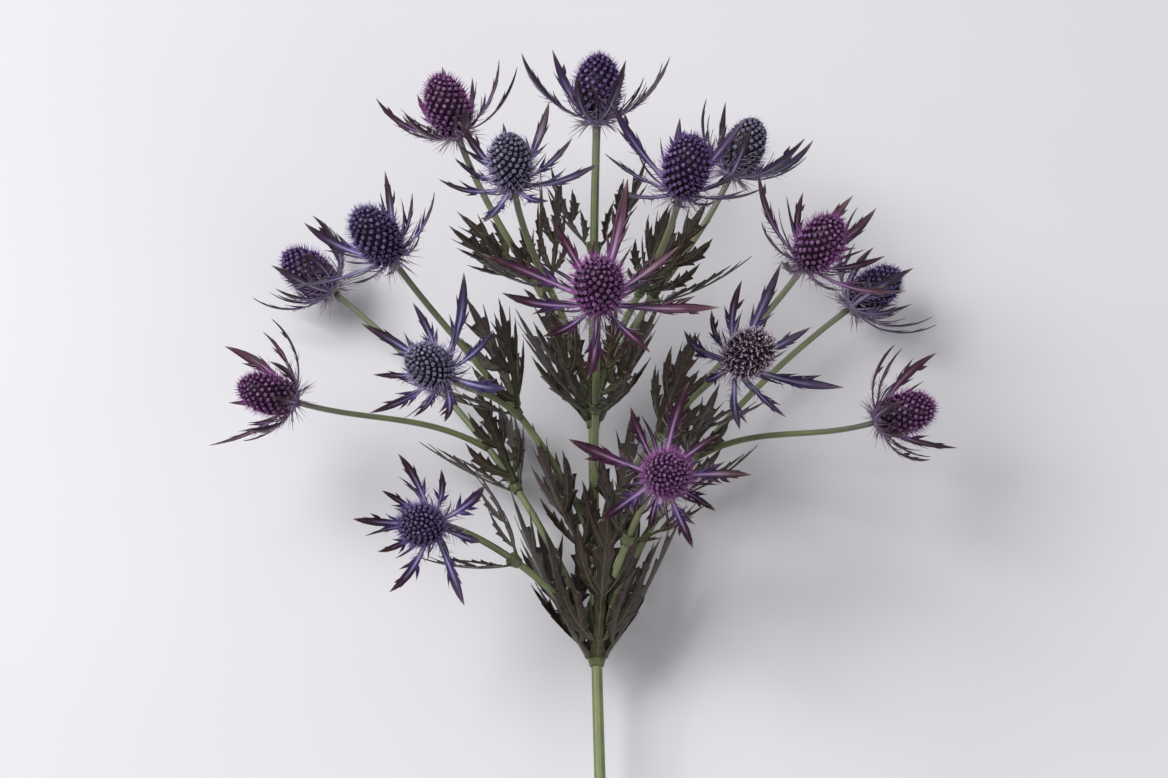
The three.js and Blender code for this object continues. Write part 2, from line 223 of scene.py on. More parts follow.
def circle(across: Array, above: Array, turn: Array) -> Array:
    """The ways from one to another at each turn: across cos(turn) + above sin(turn)."""
    turn = np.asarray(turn, float)[..., None]
    return across[..., None, :] * np.cos(turn) + above[..., None, :] * np.sin(turn)


def round_axis(axis: Array, turn: Array) -> Array:
    """The way at each turn round an axis, or round each of many, counted from its level side."""
    return circle(*square_to(axis), turn)


def bands(rows: int, count: int, closed: bool = False) -> Array:
    """Joins neighbouring rings by bands of triangles.

    Args:
        rows: Number of rings.
        count: Points of a ring.
        closed: Whether the last ring is joined to the first.

    Returns:
        Point numbers of the triangles, two to each point of a band.
    """
    i, j = np.meshgrid(np.arange(rows if closed else rows - 1), np.arange(count), indexing="ij")
    k, low, high = (j + 1) % count, i * count, (i + 1) % rows * count
    return np.stack([low + j, low + k, high + k, low + j, high + k, high + j], axis=-1).reshape(-1, 3)


def skins(grid: Array, tip: Array | None = None) -> tuple[Array, Array]:
    """Closes a skin over each stack of rings.

    Each ring runs anticlockwise as seen from the tip. Neighbouring rings are joined by bands of
    triangles, the first ring is closed by a fan to its middle and the last by a fan to the tip.

    Args:
        grid: Points as stacks, rings, points of a ring and three, (b, u, r, 3).
        tip: The last point of each stack, (b, 3), or None for the middle of its last ring.

    Returns:
        The points, grid first, then roots, then tips; and the triangles.
    """
    b, u, r, _ = grid.shape
    tip = grid[:, -1].mean(axis=1) if tip is None else tip
    points = np.concatenate([grid.reshape(-1, 3), grid[:, 0].mean(axis=1), tip])
    stack = np.arange(b)[:, None]
    body = (bands(u, r)[None] + (stack * u * r)[..., None]).reshape(-1, 3)
    j, k = np.arange(r), (np.arange(r) + 1) % r
    root = np.stack(np.broadcast_arrays(b * u * r + stack, stack * u * r + k, stack * u * r + j), axis=-1)
    last = stack * u * r + (u - 1) * r
    peak = np.stack(np.broadcast_arrays(b * u * r + b + stack, last + j, last + k), axis=-1)
    return points, np.concatenate([body, root.reshape(-1, 3), peak.reshape(-1, 3)])


def spread(values: Array | float, shape: tuple[int, ...], root: float = 1.0, tip: float = 1.0) -> Array:
    """Repeats a value over the points that `skins` makes.

    Args:
        values: Anything that broadcasts to `shape`, or to it and a last axis of three.
        shape: Stacks, rings and points of a ring.
        root: How much of the first ring's value the root takes.
        tip: How much of the last ring's value the tip takes.

    Returns:
        The values in the order of the points.
    """
    values = np.asarray(values, float)
    tail = (3,) if values.ndim == 4 else ()
    full = np.broadcast_to(values, shape + tail)
    ends = [full[:, 0].mean(axis=1) * root, full[:, -1].mean(axis=1) * tip]
    return np.concatenate([full.reshape((-1,) + tail), *ends])


@dataclass
class Skin:
    """A mesh that is gathered shape by shape, with its painted values, and then made an object.

    `pose` turns points from the frame that the shapes are drawn in into that of the spray.
    """

    name: str
    pose: Callable[[Array], Array] = np.asarray
    points: list[Array] = field(default_factory=list)
    faces: list[Array] = field(default_factory=list)
    looks: list[Array] = field(default_factory=list)
    values: list[Array] = field(default_factory=list)
    paints: list[Array] = field(default_factory=list)
    count: int = 0

    def add(
        self, points: Array, faces: Array, paint: Array, along: Array, across: Array, look: int = 0
    ) -> None:
        """Adds one set of shapes.

        Args:
            points: Places in millimetres, (n, 3).
            faces: Point numbers of the triangles, (m, 3).
            paint: Linear colour of each point, (n, 3).
            along: Share from root to tip at each point, (n,).
            across: Place from one edge, -1, to the other, 1, at each point, (n,).
            look: Which of the object's materials the faces take.
        """
        self.points.append(self.pose(points))
        self.faces.append(faces + self.count)
        self.looks.append(np.full(len(faces), look))
        self.values.append(np.stack([along, across], axis=-1))
        self.paints.append(paint)
        self.count += len(points)

    def lay(
        self, grid: Array, tip: Array | None, paint: Array, along: Array | float, across: Array | float,
        look: int = 0, ends: Pair = (1.0, 1.0), crest: float = 1.0,
    ) -> None:
        """Closes stacks of rings by `skins` and adds them.

        Args:
            grid: Points as stacks, rings, points of a ring and three.
            tip: The last point of each stack, or None for the middle of its last ring.
            paint: Linear colours that broadcast to the grid.
            along: Share from root to tip, which broadcasts to the grid's first three axes.
            across: Place from one edge, -1, to the other, 1, which broadcasts likewise.
            look: Which of the object's materials the faces take.
            ends: How bright the root and the tip are beside the first and the last ring.
            crest: How much of the last ring's `across` the tip takes.
        """
        points, faces = skins(grid, tip)
        shape = grid.shape[:3]
        paint = spread(np.broadcast_to(paint, grid.shape), shape, *ends)
        self.add(points, faces, paint, spread(along, shape), spread(across, shape, 1.0, crest), look)

    def stand(self, materials: list[Material], nodes: list[str], slot: str) -> bpy.types.Object:
        """Makes the object, puts it in the scene, sets it on the root body and hides the solids that it
        replaces.

        Args:
            materials: The object's materials in order.
            nodes: The solids that it replaces.
            slot: Not used.

        Returns:
            The finished object, at the origin, unturned and unscaled.
        """
        places = np.concatenate(self.points) - MIDDLE
        places[:, 2] = np.maximum(places[:, 2], 0.0)
        faces = np.concatenate(self.faces)
        mesh = bpy.data.meshes.new(self.name)
        mesh.vertices.add(len(places))
        mesh.vertices.foreach_set("co", (places * MM).ravel())
        mesh.loops.add(faces.size)
        mesh.loops.foreach_set("vertex_index", faces.ravel())
        mesh.polygons.add(len(faces))
        mesh.polygons.foreach_set("loop_start", np.arange(0, faces.size, 3))
        mesh.polygons.foreach_set("material_index", np.concatenate(self.looks))
        values = np.concatenate(self.values)
        for column, title in enumerate(("along", "across")):
            mesh.attributes.new(title, "FLOAT", "POINT").data.foreach_set("value", values[:, column].copy())
        colours = np.concatenate(self.paints)
        colours = np.concatenate([colours, np.ones((len(colours), 1))], axis=1)
        mesh.attributes.new("paint", "FLOAT_COLOR", "POINT").data.foreach_set("color", colours.ravel())
        mesh.update(calc_edges=True)
        mesh.polygons.foreach_set("use_smooth", np.ones(len(faces), bool))
        for material in materials:
            mesh.materials.append(material)
        piece = bpy.data.objects.new(self.name, mesh)
        bpy.context.scene.collection.objects.link(piece)
        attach(piece, "root")
        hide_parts(*nodes)
        LOG.info("%s: %d triangles", self.name, len(faces))
        return piece


@dataclass
class Curve:
    """A cubic Bezier curve through four points."""

    knots: Array

    def at(self, share: Array | float) -> Array:
        """The point at each share: (1-t)^3 a + 3 (1-t)^2 t b + 3 (1-t) t^2 c + t^3 d.

        Args:
            share: The shares t, from 0 at the first knot to 1 at the last.

        Returns:
            The points, with one more axis of three than `share`.
        """
        t = np.asarray(share, float)[..., None]
        a, b, c, d = self.knots
        return (1 - t) ** 3 * a + 3 * (1 - t) ** 2 * t * b + 3 * (1 - t) * t**2 * c + t**3 * d

    def way(self, share: Array | float) -> Array:
        """The unit tangent at each share, along (1-t)^2 (b-a) + 2 (1-t) t (c-b) + t^2 (d-c).

        Args:
            share: The shares t, from 0 at the first knot to 1 at the last.

        Returns:
            The unit ways, with one more axis of three than `share`.
        """
        t = np.asarray(share, float)[..., None]
        a, b, c, d = self.knots
        return unit((1 - t) ** 2 * (b - a) + 2 * (1 - t) * t * (c - b) + t**2 * (d - c))

    def length(self) -> float:
        """The length along the curve, summed over 200 short steps."""
        steps = np.diff(self.at(np.linspace(0, 1, 201)), axis=0)
        return float(np.linalg.norm(steps, axis=1).sum())


@dataclass
class Lines:
    """Middle lines of blades that leave their roots outwards and bend up towards an axis.

    The slope of each runs evenly from `start` to `end` radians, and it drifts aside by `sweep` and
    turns about itself by `twist` radians towards its tip.
    """

    root: Array
    out: Array
    up: Array
    length: Array
    start: Array
    end: Array
    sweep: Array
    twist: Array

    def only(self, chosen: Array) -> "Lines":
        """The lines of the chosen blades."""
        own = {item.name: getattr(self, item.name)[chosen] for item in fields(self) if item.name != "up"}
        return replace(self, **own)

    def at(self, u: Array) -> tuple[Array, Array, Array, Array]:
        """Follows every line.

        A line of length L and slopes s to e has run L (sin(slope) - sin(s)) / (e - s) and climbed
        L (cos(s) - cos(slope)) / (e - s) where its slope is s + (e - s) u.

        Args:
            u: Shares of the length, (b, ...).

        Returns:
            Points, and unit ways along, to the side and to the face, each (b, ..., 3).
        """

        def grow(value: Array) -> Array:
            """Gives a value of each line the axes that the shares have."""
            return value.reshape(value.shape[:1] + (1,) * (u.ndim - 1) + value.shape[1:])

        start, end, reach = grow(self.start), grow(self.end), grow(self.length)
        out, sweep = grow(self.out), grow(self.sweep)[..., None]
        up = self.up
        aside = np.cross(up, out)
        slope = start + (end - start) * u
        run = (reach * (np.sin(slope) - np.sin(start)) / (end - start))[..., None]
        climb = (reach * (np.cos(start) - np.cos(slope)) / (end - start))[..., None]
        share = u[..., None]
        point = grow(self.root) + out * run + up * climb + aside * reach[..., None] * sweep * share**2
        tilt = slope[..., None]
        along = unit(out * np.cos(tilt) + up * np.sin(tilt) + aside * 2 * sweep * share)
        side = unit(np.cross(along, up * np.cos(tilt) - out * np.sin(tilt)))
        face = np.cross(side, along)
        turn = grow(self.twist)[..., None] * share
        cos, sin = np.cos(turn), np.sin(turn)
        return point, along, side * cos + face * sin, face * cos - side * sin


@dataclass(frozen=True)
class Lobe:
    """One pointed lobe of a blade, drawn on the blade's own chart in shares of its length.

    Its middle runs from `start` past `bend` to `tip`, each (along, aside). `widths` gives its half
    width by share of its own length. `teeth` points stand out from each edge by `bite` times the half
    width and lean forward. `fold` is how far the blade rises for each step aside and `crease` how far
    the lobe rises for each step from its own middle, and `thick` is in millimetres.
    """

    start: Pair
    bend: Pair
    tip: Pair
    widths: dict[float, float]
    rows: int = 12
    columns: int = 5
    teeth: int = 0
    bite: float = 0.0
    thick: float = 0.5
    fold: float = 0.3
    crease: float = 0.0

    @property
    def side(self) -> Array:
        """For each point of a ring, -1 on the underside and 1 on top."""
        return np.concatenate([-np.ones(self.columns), np.ones(self.columns - 2)])

    def rings(self) -> tuple[Array, Array]:
        """Spaces the rings, evenly, and says where the teeth are.

        A tooth takes four rings, over which it grows by TOOTH_STEPS; the teeth are lower towards the root
        and the tip.

        Returns:
            Shares of the length where the rings lie, and how far a tooth stands out at each.
        """
        if not self.teeth:
            return np.linspace(0, LAST_RING, self.rows), np.zeros(self.rows)
        steps = len(TOOTH_STEPS)
        t = np.linspace(0, LAST_RING, self.teeth * steps + 2)
        saw = np.zeros(len(t))
        for place, height in enumerate(TOOTH_STEPS):
            saw[place::steps] = height
        return t, saw * (np.clip(2.6 * t - 0.3, 0, 1) * np.clip((0.95 - t) / 0.2, 0, 1))

    def drawn(self, lines: Lines, jitter: Array, mirror: float) -> tuple[Array, Array, Array, Array]:
        """Draws the lobe on every line.

        On the chart a point is middle + normal (half width) v + tangent (lean) v^4; the chart's along
        follows the line and its aside the line's side, and the blade rises by fold times the aside.

        Args:
            lines: The blades' middle lines.
            jitter: How far aside the lobe reaches on each line, 1 being as drawn.
            mirror: 1 or -1, the side of the blade that it stands on.

        Returns:
            The grid of rings (b, u, r, 3), the tips (b, 3), and along and across (b, u, r).
        """
        t, saw = self.rings()
        near, far = (1 - t)[:, None], t[:, None]
        start, bend, tip = (np.array(p) * [1.0, mirror] for p in (self.start, self.bend, self.tip))
        middle = near**2 * start + 2 * ((1 - t) * t)[:, None] * bend + far**2 * tip
        tangent = unit(near * (bend - start) + far * (tip - bend) + 1e-9)
        normal = np.stack([-tangent[:, 1], tangent[:, 0]], axis=-1)
        half = np.interp(t, list(self.widths), list(self.widths.values()))
        top = np.linspace(-1, 1, self.columns)
        v = np.concatenate([top[::-1], top[1:-1]])
        wide = (half * (1 + self.bite * saw * (1 - 0.4 * t)))[:, None] * v
        lean = (half * self.bite * 0.8 * saw)[:, None] * np.abs(v) ** 4
        chart = middle[:, None] + normal[:, None] * wide[..., None] + tangent[:, None] * lean[..., None]
        shape = (len(lines.length), *wide.shape)
        point, _, across, face = lines.at(np.broadcast_to(chart[..., 0], shape))
        reach = lines.length[:, None, None]
        aside = chart[..., 1] * jitter[:, None, None] * reach
        rise = self.fold * np.abs(aside) + self.crease * np.abs(wide) * reach
        rise = rise + self.thick * (1 - 0.55 * far) * (1 - 0.75 * v**2) * self.side / 2
        grid = point + across * aside[..., None] + face * rise[..., None]
        last, _, last_side, last_face = lines.at(np.full((shape[0], 1), tip[0]))
        aside = (tip[1] * jitter * lines.length)[:, None, None]
        peak = last + last_side * aside + last_face * (self.fold * np.abs(aside))
        return grid, peak[:, 0], np.broadcast_to(far, shape), np.broadcast_to(v, shape)


def needles(roots: Array, ways: Array, lengths: Array, radius: float, droop: Array) -> tuple[Array, Array]:
    """Fine three-sided spines that taper to a point.

    At a share s the middle is root + way (length s) + droop s^2, and the radius is radius (1 - 0.8 s).

    Args:
        roots: Where they stand, (n, 3).
        ways: The ways that they point, (n, 3).
        lengths: How long they are, (n,).
        radius: Half the thickness at the root.
        droop: How their tips are moved, (n, 3).

    Returns:
        The grid of rings (n, rings, sides, 3) and the tips (n, 3).
    """
    share = np.linspace(0, 1, NEEDLE_RINGS + 1)[:-1]
    ring = round_axis(ways, -np.arange(NEEDLE_SIDES) * 2 * np.pi / NEEDLE_SIDES)
    middle = roots[:, None] + ways[:, None] * (lengths[:, None] * share)[..., None]
    middle = middle + droop[:, None] * (share**2)[:, None]
    grid = middle[:, :, None] + ring[:, None] * (radius * (1 - 0.8 * share))[:, None, None]
    return grid, roots + ways * lengths[:, None] + droop


@dataclass(frozen=True)
class Sprig:
    """A branch and the head that it carries.

    `parent` is the number of the branch that it leaves, and `at` where. `base` is the head's seat, with
    y from the cut end; no z means that its lowest bract rests on the table. `heading` and `rise` are
    the head's way in degrees, `size` its share of the common size, and `cupped` how far, in degrees,
    its bracts cup up round it.
    """

    parent: int | None
    at: float
    base: tuple[float, float, float | None]
    heading: float
    rise: float
    size: float
    cupped: float
    mood: Mood


@dataclass(frozen=True)
class Whorl:
    """A whorl of leaves: its branch, its place there, and its leaves' number, length, turn and slope."""

    branch: int
    at: float
    leaves: int
    length: float
    turn: float
    slope: float


# The stem's three forks, as shares of its curve.
LOW, MIDWAY, HIGH = 0.48, 0.57, 0.7
SPRAY = (
    Sprig(None, 0, (4, 405, 74), 2, 30, 1.06, 44, Mood.VIOLET),
    Sprig(0, HIGH, (-46, 391, 92), -24, 42, 1.0, 40, Mood.MAGENTA),
    Sprig(0, HIGH, (53, 389, 62), 28, 26, 0.98, 48, Mood.SLATE),
    Sprig(0, HIGH, (33, 358, 112), 20, 60, 1.04, 30, Mood.VIOLET),
    Sprig(0, HIGH, (-25, 355, 125), -14, 66, 0.96, 28, Mood.SLATE),
    Sprig(0, MIDWAY, (4, 304, 140), 5, 84, 1.08, 20, Mood.MAGENTA),
    Sprig(0, MIDWAY, (-68, 338, 102), -50, 55, 1.02, 32, Mood.INDIGO),
    Sprig(0, MIDWAY, (77, 339, 93), 48, 52, 1.0, 34, Mood.MAGENTA),
    Sprig(0, LOW, (-95, 361, None), -52, 10, 1.0, 48, Mood.VIOLET),
    Sprig(0, LOW, (99, 354, None), 54, 10, 0.98, 48, Mood.INDIGO),
    Sprig(0, LOW, (26, 256, 102), 150, 74, 0.98, 26, Mood.MAGENTA),
    Sprig(8, 0.5, (-104, 300, 62), -84, 30, 0.92, 44, Mood.MAGENTA),
    Sprig(9, 0.5, (104, 293, 60), 84, 30, 0.94, 42, Mood.MAGENTA),
    Sprig(6, 0.4, (-49, 290, 112), -95, 66, 0.92, 28, Mood.SLATE),
    Sprig(7, 0.4, (51, 294, 112), 92, 66, 0.94, 30, Mood.TAN),
    Sprig(0, LOW, (-53, 247, 80), -135, 62, 0.92, 32, Mood.INDIGO),
)
WHORLS = (
    Whorl(0, LOW, 5, 62, 18, 62),
    Whorl(0, MIDWAY, 4, 56, 45, 58),
    Whorl(0, HIGH, 4, 54, 45, 57),
    Whorl(0, 0.88, 2, 36, 20, 54),
    Whorl(1, 0.52, 3, 42, 30, 56),
    Whorl(2, 0.52, 3, 40, 90, 56),
    Whorl(3, 0.6, 2, 34, 60, 56),
    Whorl(4, 0.6, 2, 34, 0, 56),
    Whorl(5, 0.55, 3, 40, 45, 56),
    Whorl(6, 0.47, 3, 44, 75, 56),
    Whorl(7, 0.4, 3, 46, 90, 54),
    Whorl(8, 0.42, 3, 41, 90, 65),
    Whorl(9, 0.42, 3, 43, 90, 62),
    Whorl(10, 0.55, 2, 34, 0, 56),
    Whorl(15, 0.55, 2, 34, 0, 56),
)


def star_lines(number: int, sprig: Sprig, k: Array, share: float = 1.0, extra: float = 0.0) -> Lines:
    """Middle lines of a head's bracts, about its own seat.

    Bract k leaves the cup at a turn of 2 pi k / 9 plus a stray, with a first and a last slope that grow
    with how far the bracts are cupped. Every other bract is short.

    Args:
        number: The head's number.
        sprig: The head's branch.
        k: The bracts' numbers; a half stands between two.
        share: Share of the common length.
        extra: Degrees added to both slopes.

    Returns:
        The lines, with their roots measured from the seat.
    """
    axis = facing(sprig.heading, sprig.rise)
    out = round_axis(axis, 2 * np.pi * (k + 0.16 * wobble(k, number)) / BRACTS + HEAD_TURN * number)
    reach = BRACT_REACH * share * np.where(k % 2 == 1, BRACT_SHORT, 1.0)
    return Lines(
        root=sprig.size * (axis * BRACT_SEAT + out * BRACT_ROOT),
        out=out,
        up=axis,
        length=sprig.size * reach * (1 + 0.14 * wobble(k + 3, number)),
        start=np.radians(4 + 0.12 * sprig.cupped + 3 * wobble(k + 7, number) + extra),
        end=np.radians(1.75 * sprig.cupped + 9 * wobble(k + 11, number) + extra),
        sweep=0.1 * wobble(k + 5, number),
        twist=0.4 * wobble(k + 13, number),
    )


@dataclass
class Branch:
    """A grown branch: its curve, its order, and the seat and axis of its head."""

    number: int
    sprig: Sprig
    curve: Curve
    order: Order
    seat: Array
    axis: Array

    def radius(self, share: Array | float) -> Array:
        """Radius at a share of the length, running evenly from foot to head."""
        foot, head = self.order.value
        return foot + (head - foot) * np.asarray(share, float)


def grown() -> list[Branch]:
    """Grows every branch in order.

    The stem's curve keeps to its first slope near the cut end and to its head's axis near the tip. A
    branch leaves part way between its parent's course and its own, and comes in on its head's axis.

    Returns:
        The branches, the stem first.
    """
    made: list[Branch] = []
    for number, sprig in enumerate(SPRAY):
        axis = facing(sprig.heading, sprig.rise)
        x, y, z = sprig.base
        if z is None:
            tips = star_lines(number, sprig, np.arange(float(BRACTS))).at(np.ones((BRACTS, 1)))[0]
            z = -tips[..., 2].min()
        seat = np.array([x, y, z])
        if sprig.parent is None:
            low = Order.STEM.value[0] * np.cos(np.pi / 8) * np.cos(np.radians(CUT_SLOPE))
            start = np.array([*CUT_END, low])
            first = start + facing(CUT_HEADING, CUT_SLOPE) * CUT_REACH
            last, order = seat - axis * TIP_REACH, Order.STEM
        else:
            parent = made[sprig.parent].curve
            start = parent.at(sprig.at)
            span = np.linalg.norm(seat - start)
            leave = unit(PARENT_PULL * parent.way(sprig.at) + OWN_PULL * unit(seat - start))
            first, last = start + leave * BRANCH_REACH * span, seat - axis * BRANCH_REACH * span
            order = Order.BRANCH if sprig.parent == 0 else Order.TWIG
        made.append(Branch(number, sprig, Curve(np.array([start, first, last, seat])), order, seat, axis))
    return made


class Kit:
    """Adds nodes to a material's or a group's tree and links them."""

    def __init__(self, tree: Tree) -> None:
        """Keeps the tree that nodes are added to."""
        self.tree = tree

    def node(self, kind: str, **settings: object) -> Node:
        """Adds a node of a kind and sets its plain settings.

        Args:
            kind: The kind, as Blender names it.
            **settings: The settings by name.

        Returns:
            The new node.
        """
        made = self.tree.nodes.new(kind)
        for title, value in settings.items():
            setattr(made, title, value)
        return made

    def feed(self, socket: Socket, value: object) -> None:
        """Links an output to a socket, or sets a plain value on it.

        Args:
            socket: The input.
            value: An output, or a number or colour.
        """
        if isinstance(value, Socket):
            self.tree.links.new(value, socket)
        else:
            socket.default_value = value

    def fed(self, node: Node, **inputs: object) -> Node:
        """Feeds a node's inputs by name, with _ for a space.

        Args:
            node: The node.
            **inputs: What each input is fed.

        Returns:
            The same node.
        """
        for title, value in inputs.items():
            self.feed(node.inputs[title.replace("_", " ")], value)
        return node

    def math(self, how: str, a: object, b: object = 0.0) -> Socket:
        """The result of a sum on one or two values.

        Args:
            how: The sum, as Blender names it.
            a: The first value, an output or a number.
            b: The second value, for a sum on two.

        Returns:
            The result.
        """
        made = self.node("ShaderNodeMath", operation=how)
        self.feed(made.inputs[0], a)
        self.feed(made.inputs[1], b)
        return made.outputs[0]

    def scaled(self, value: object, own: Pair, wanted: Pair) -> Socket:
        """A value taken evenly from one range to another, and kept inside it.

        Args:
            value: The value.
            own: Two ends of its own range.
            wanted: What the two ends become.

        Returns:
            The result.
        """
        made = self.node("ShaderNodeMapRange")
        for place, item in enumerate((value, *own, *wanted)):
            self.feed(made.inputs[place], item)
        return made.outputs[0]

    def toned(self, noise: Socket, ends: Pair) -> Socket:
        """A soft noise taken from its usual range to another."""
        return self.scaled(noise, NOISE_RANGE, ends)

    def mix(self, share: object, a: object, b: object, how: str = "MIX") -> Socket:
        """Two colours blended by a share.

        Args:
            share: How much of the second colour there is, from 0 to 1.
            a: The first colour.
            b: The second colour.
            how: The way of blending, as Blender names it.

        Returns:
            The blended colour.
        """
        made = self.node("ShaderNodeMix", data_type="RGBA", blend_type=how)
        for place, item in ((0, share), (6, a), (7, b)):
            self.feed(made.inputs[place], item)
        return made.outputs[2]

    def attribute(self, title: str, output: str = "Fac") -> Socket:
        """One of the mesh's own values."""
        return self.node("ShaderNodeAttribute", attribute_name=title).outputs[output]

    def place(self) -> Socket:
        """The place on the object, in metres."""
        return self.node("ShaderNodeTexCoord").outputs["Object"]

    def noise(self, where: Socket, scale: object, detail: float = 3.0, rough: float = 0.5) -> Socket:
        """A soft noise from 0 to 1 at a place."""
        made = self.node("ShaderNodeTexNoise")
        return self.fed(made, Vector=where, Scale=scale, Detail=detail, Roughness=rough).outputs[0]


class Coat(Kit):
    """A kit on the tree of a new material, which fills in its shader."""

    def __init__(self, name: str) -> None:
        """Makes the material.

        Args:
            name: The material's name.
        """
        self.material = bpy.data.materials.new(name)
        self.material.use_nodes = True
        super().__init__(self.material.node_tree)

    def grained(self, grain: Tree, **inputs: object) -> tuple[Socket, Socket]:
        """The grain and the blotches of the shared grain group."""
        laid = self.fed(self.node("ShaderNodeGroup", node_tree=grain), **inputs)
        return laid.outputs["Grain"], laid.outputs["Blotch"]

    def painted(self, shade: Socket) -> Socket:
        """The mesh's own paint times a shade."""
        return self.mix(1.0, self.attribute("paint", "Color"), shade, "MULTIPLY")

    def bump(self, height: Socket, strength: float, distance: float) -> Socket:
        """The normals of a fine relief, `distance` metres high."""
        made = self.node("ShaderNodeBump")
        return self.fed(made, Strength=strength, Distance=distance, Height=height).outputs[0]

    def finished(self, **inputs: object) -> Material:
        """Feeds the shader's inputs and gives the material."""
        self.fed(self.tree.nodes["Principled BSDF"], **inputs)
        return self.material


def grain_group() -> Tree:
    """Fine lengthwise grain of plant skin, with soft patches.

    Streaks are noise squeezed across the blade, and patches are noise on the place; both come out as
    values from 0 to 1.

    Returns:
        The group, with inputs Along, Across, Streaks and Patch and outputs Grain and Blotch.
    """
    tree = bpy.data.node_groups.new("plant_grain", "ShaderNodeTree")
    for title, value in (("Along", 0.0), ("Across", 0.0), ("Streaks", 12.0), ("Patch", 260.0)):
        socket = tree.interface.new_socket(title, in_out="INPUT", socket_type="NodeSocketFloat")
        socket.default_value = value
    for title in ("Grain", "Blotch"):
        tree.interface.new_socket(title, in_out="OUTPUT", socket_type="NodeSocketFloat")
    kit = Kit(tree)
    given = kit.node("NodeGroupInput").outputs
    where = kit.node("ShaderNodeCombineXYZ")
    kit.feed(where.inputs[0], kit.math("MULTIPLY", given["Across"], given["Streaks"]))
    kit.feed(where.inputs[1], kit.math("MULTIPLY", given["Along"], 2.2))
    grain = kit.noise(where.outputs[0], 1.0, 3.0, 0.6)
    blotch = kit.noise(kit.place(), given["Patch"], 2.0)
    kit.fed(kit.node("NodeGroupOutput"), Grain=grain, Blotch=blotch)
    return tree


class Side(Enum):
    """What a leafy finish is laid on, with the shares between which its rib fades, from and to what."""

    BRACT = ((0.25, 0.72), (1.0, 0.06))
    LEAF = ((0.15, 0.8), (1.0, 0.3))


@dataclass(frozen=True)
class BladeFinish:
    """Skin of a bract or a leaf: its own paint with a pale midrib, fine grain and soft patches.

    The rib's width is in shares of the half width, beyond which it fades out.
    """

    name: str
    kind: Side
    rib: str
    rib_width: float
    rib_strength: float
    rough: Pair
    relief: float
    gloss: float

    def material(self, grain: Tree) -> Material:
        """Makes the material; a leaf also has side veins, seven to its length, that slant forward.

        Args:
            grain: The shared grain group.

        Returns:
            The finished material.
        """
        coat = Coat(self.name)
        along, across = coat.attribute("along"), coat.attribute("across")
        off = coat.math("ABSOLUTE", across)
        streak, blotch = coat.grained(grain, Along=along, Across=across, Streaks=9.0, Patch=330.0)
        shade = coat.math("MULTIPLY", coat.toned(streak, (0.62, 1.35)), coat.toned(blotch, (0.7, 1.3)))
        rib = coat.scaled(off, (self.rib_width, self.rib_width * 2.4), (1.0, 0.0))
        if self.kind is Side.LEAF:
            slant = coat.math("SUBTRACT", coat.math("MULTIPLY", along, 7.0), coat.math("MULTIPLY", off, 0.9))
            saw = coat.math("ABSOLUTE", coat.math("SUBTRACT", coat.math("FRACT", slant), 0.5))
            inner = coat.scaled(off, (0.5, 0.95), (1.0, 0.0))
            vein = coat.math("MULTIPLY", coat.scaled(saw, (0.02, 0.1), (0.6, 0.0)), inner)
            rib = coat.math("MAXIMUM", rib, vein)
        fade = coat.scaled(along, *self.kind.value)
        share = coat.math("MULTIPLY", coat.math("MULTIPLY", rib, fade), self.rib_strength)
        height = coat.math("ADD", streak, coat.math("MULTIPLY", rib, 0.8))
        return coat.finished(
            Base_Color=coat.mix(share, coat.painted(shade), opaque(self.rib)),
            Roughness=coat.toned(blotch, self.rough),
            Normal=coat.bump(height, self.relief, 0.0002),
            Specular_IOR_Level=self.gloss,
        )


@dataclass(frozen=True)
class SpeckledFinish:
    """Matt skin of florets, cores, spines and hairs: its own paint under small soft specks."""

    name: str
    rough: float
    scale: float
    spread: Pair

    def material(self) -> Material:
        """Makes the material; specks are noise on the place, and darken or lighten the paint.

        Returns:
            The finished material.
        """
        coat = Coat(self.name)
        specks = coat.noise(coat.place(), self.scale, 3.0, 0.6)
        return coat.finished(
            Base_Color=coat.painted(coat.toned(specks, self.spread)),
            Roughness=coat.toned(specks, (self.rough + 0.1, self.rough - 0.1)),
            Normal=coat.bump(specks, 0.4, 0.0001),
            Specular_IOR_Level=0.3,
        )


@dataclass(frozen=True)
class StalkFinish:
    """Waxy green skin of the stalk: ribs paler than the furrows, patches, and a soft gloss."""

    name: str = "stalk_skin"
    rib: str = "#969c7c"

    def material(self, grain: Tree) -> Material:
        """Makes the material from the stalk's own paint, `across` being 1 on a rib and -1 in a furrow.

        Args:
            grain: The shared grain group.

        Returns:
            The finished material.
        """
        coat = Coat(self.name)
        across, along = coat.attribute("across"), coat.math("MULTIPLY", coat.attribute("along"), 8.0)
        streak, blotch = coat.grained(grain, Along=along, Across=across, Streaks=5.0, Patch=120.0)
        shade = coat.math("MULTIPLY", coat.toned(streak, (0.75, 1.25)), coat.toned(blotch, (0.8, 1.2)))
        rib = coat.scaled(across, (0.2, 1.0), (0.0, 0.45))
        return coat.finished(
            Base_Color=coat.mix(rib, coat.painted(shade), opaque(self.rib)),
            Roughness=coat.toned(blotch, (0.38, 0.55)),
            Normal=coat.bump(streak, 0.35, 0.0002),
            Coat_Weight=0.15,
            Coat_Roughness=0.3,
        )


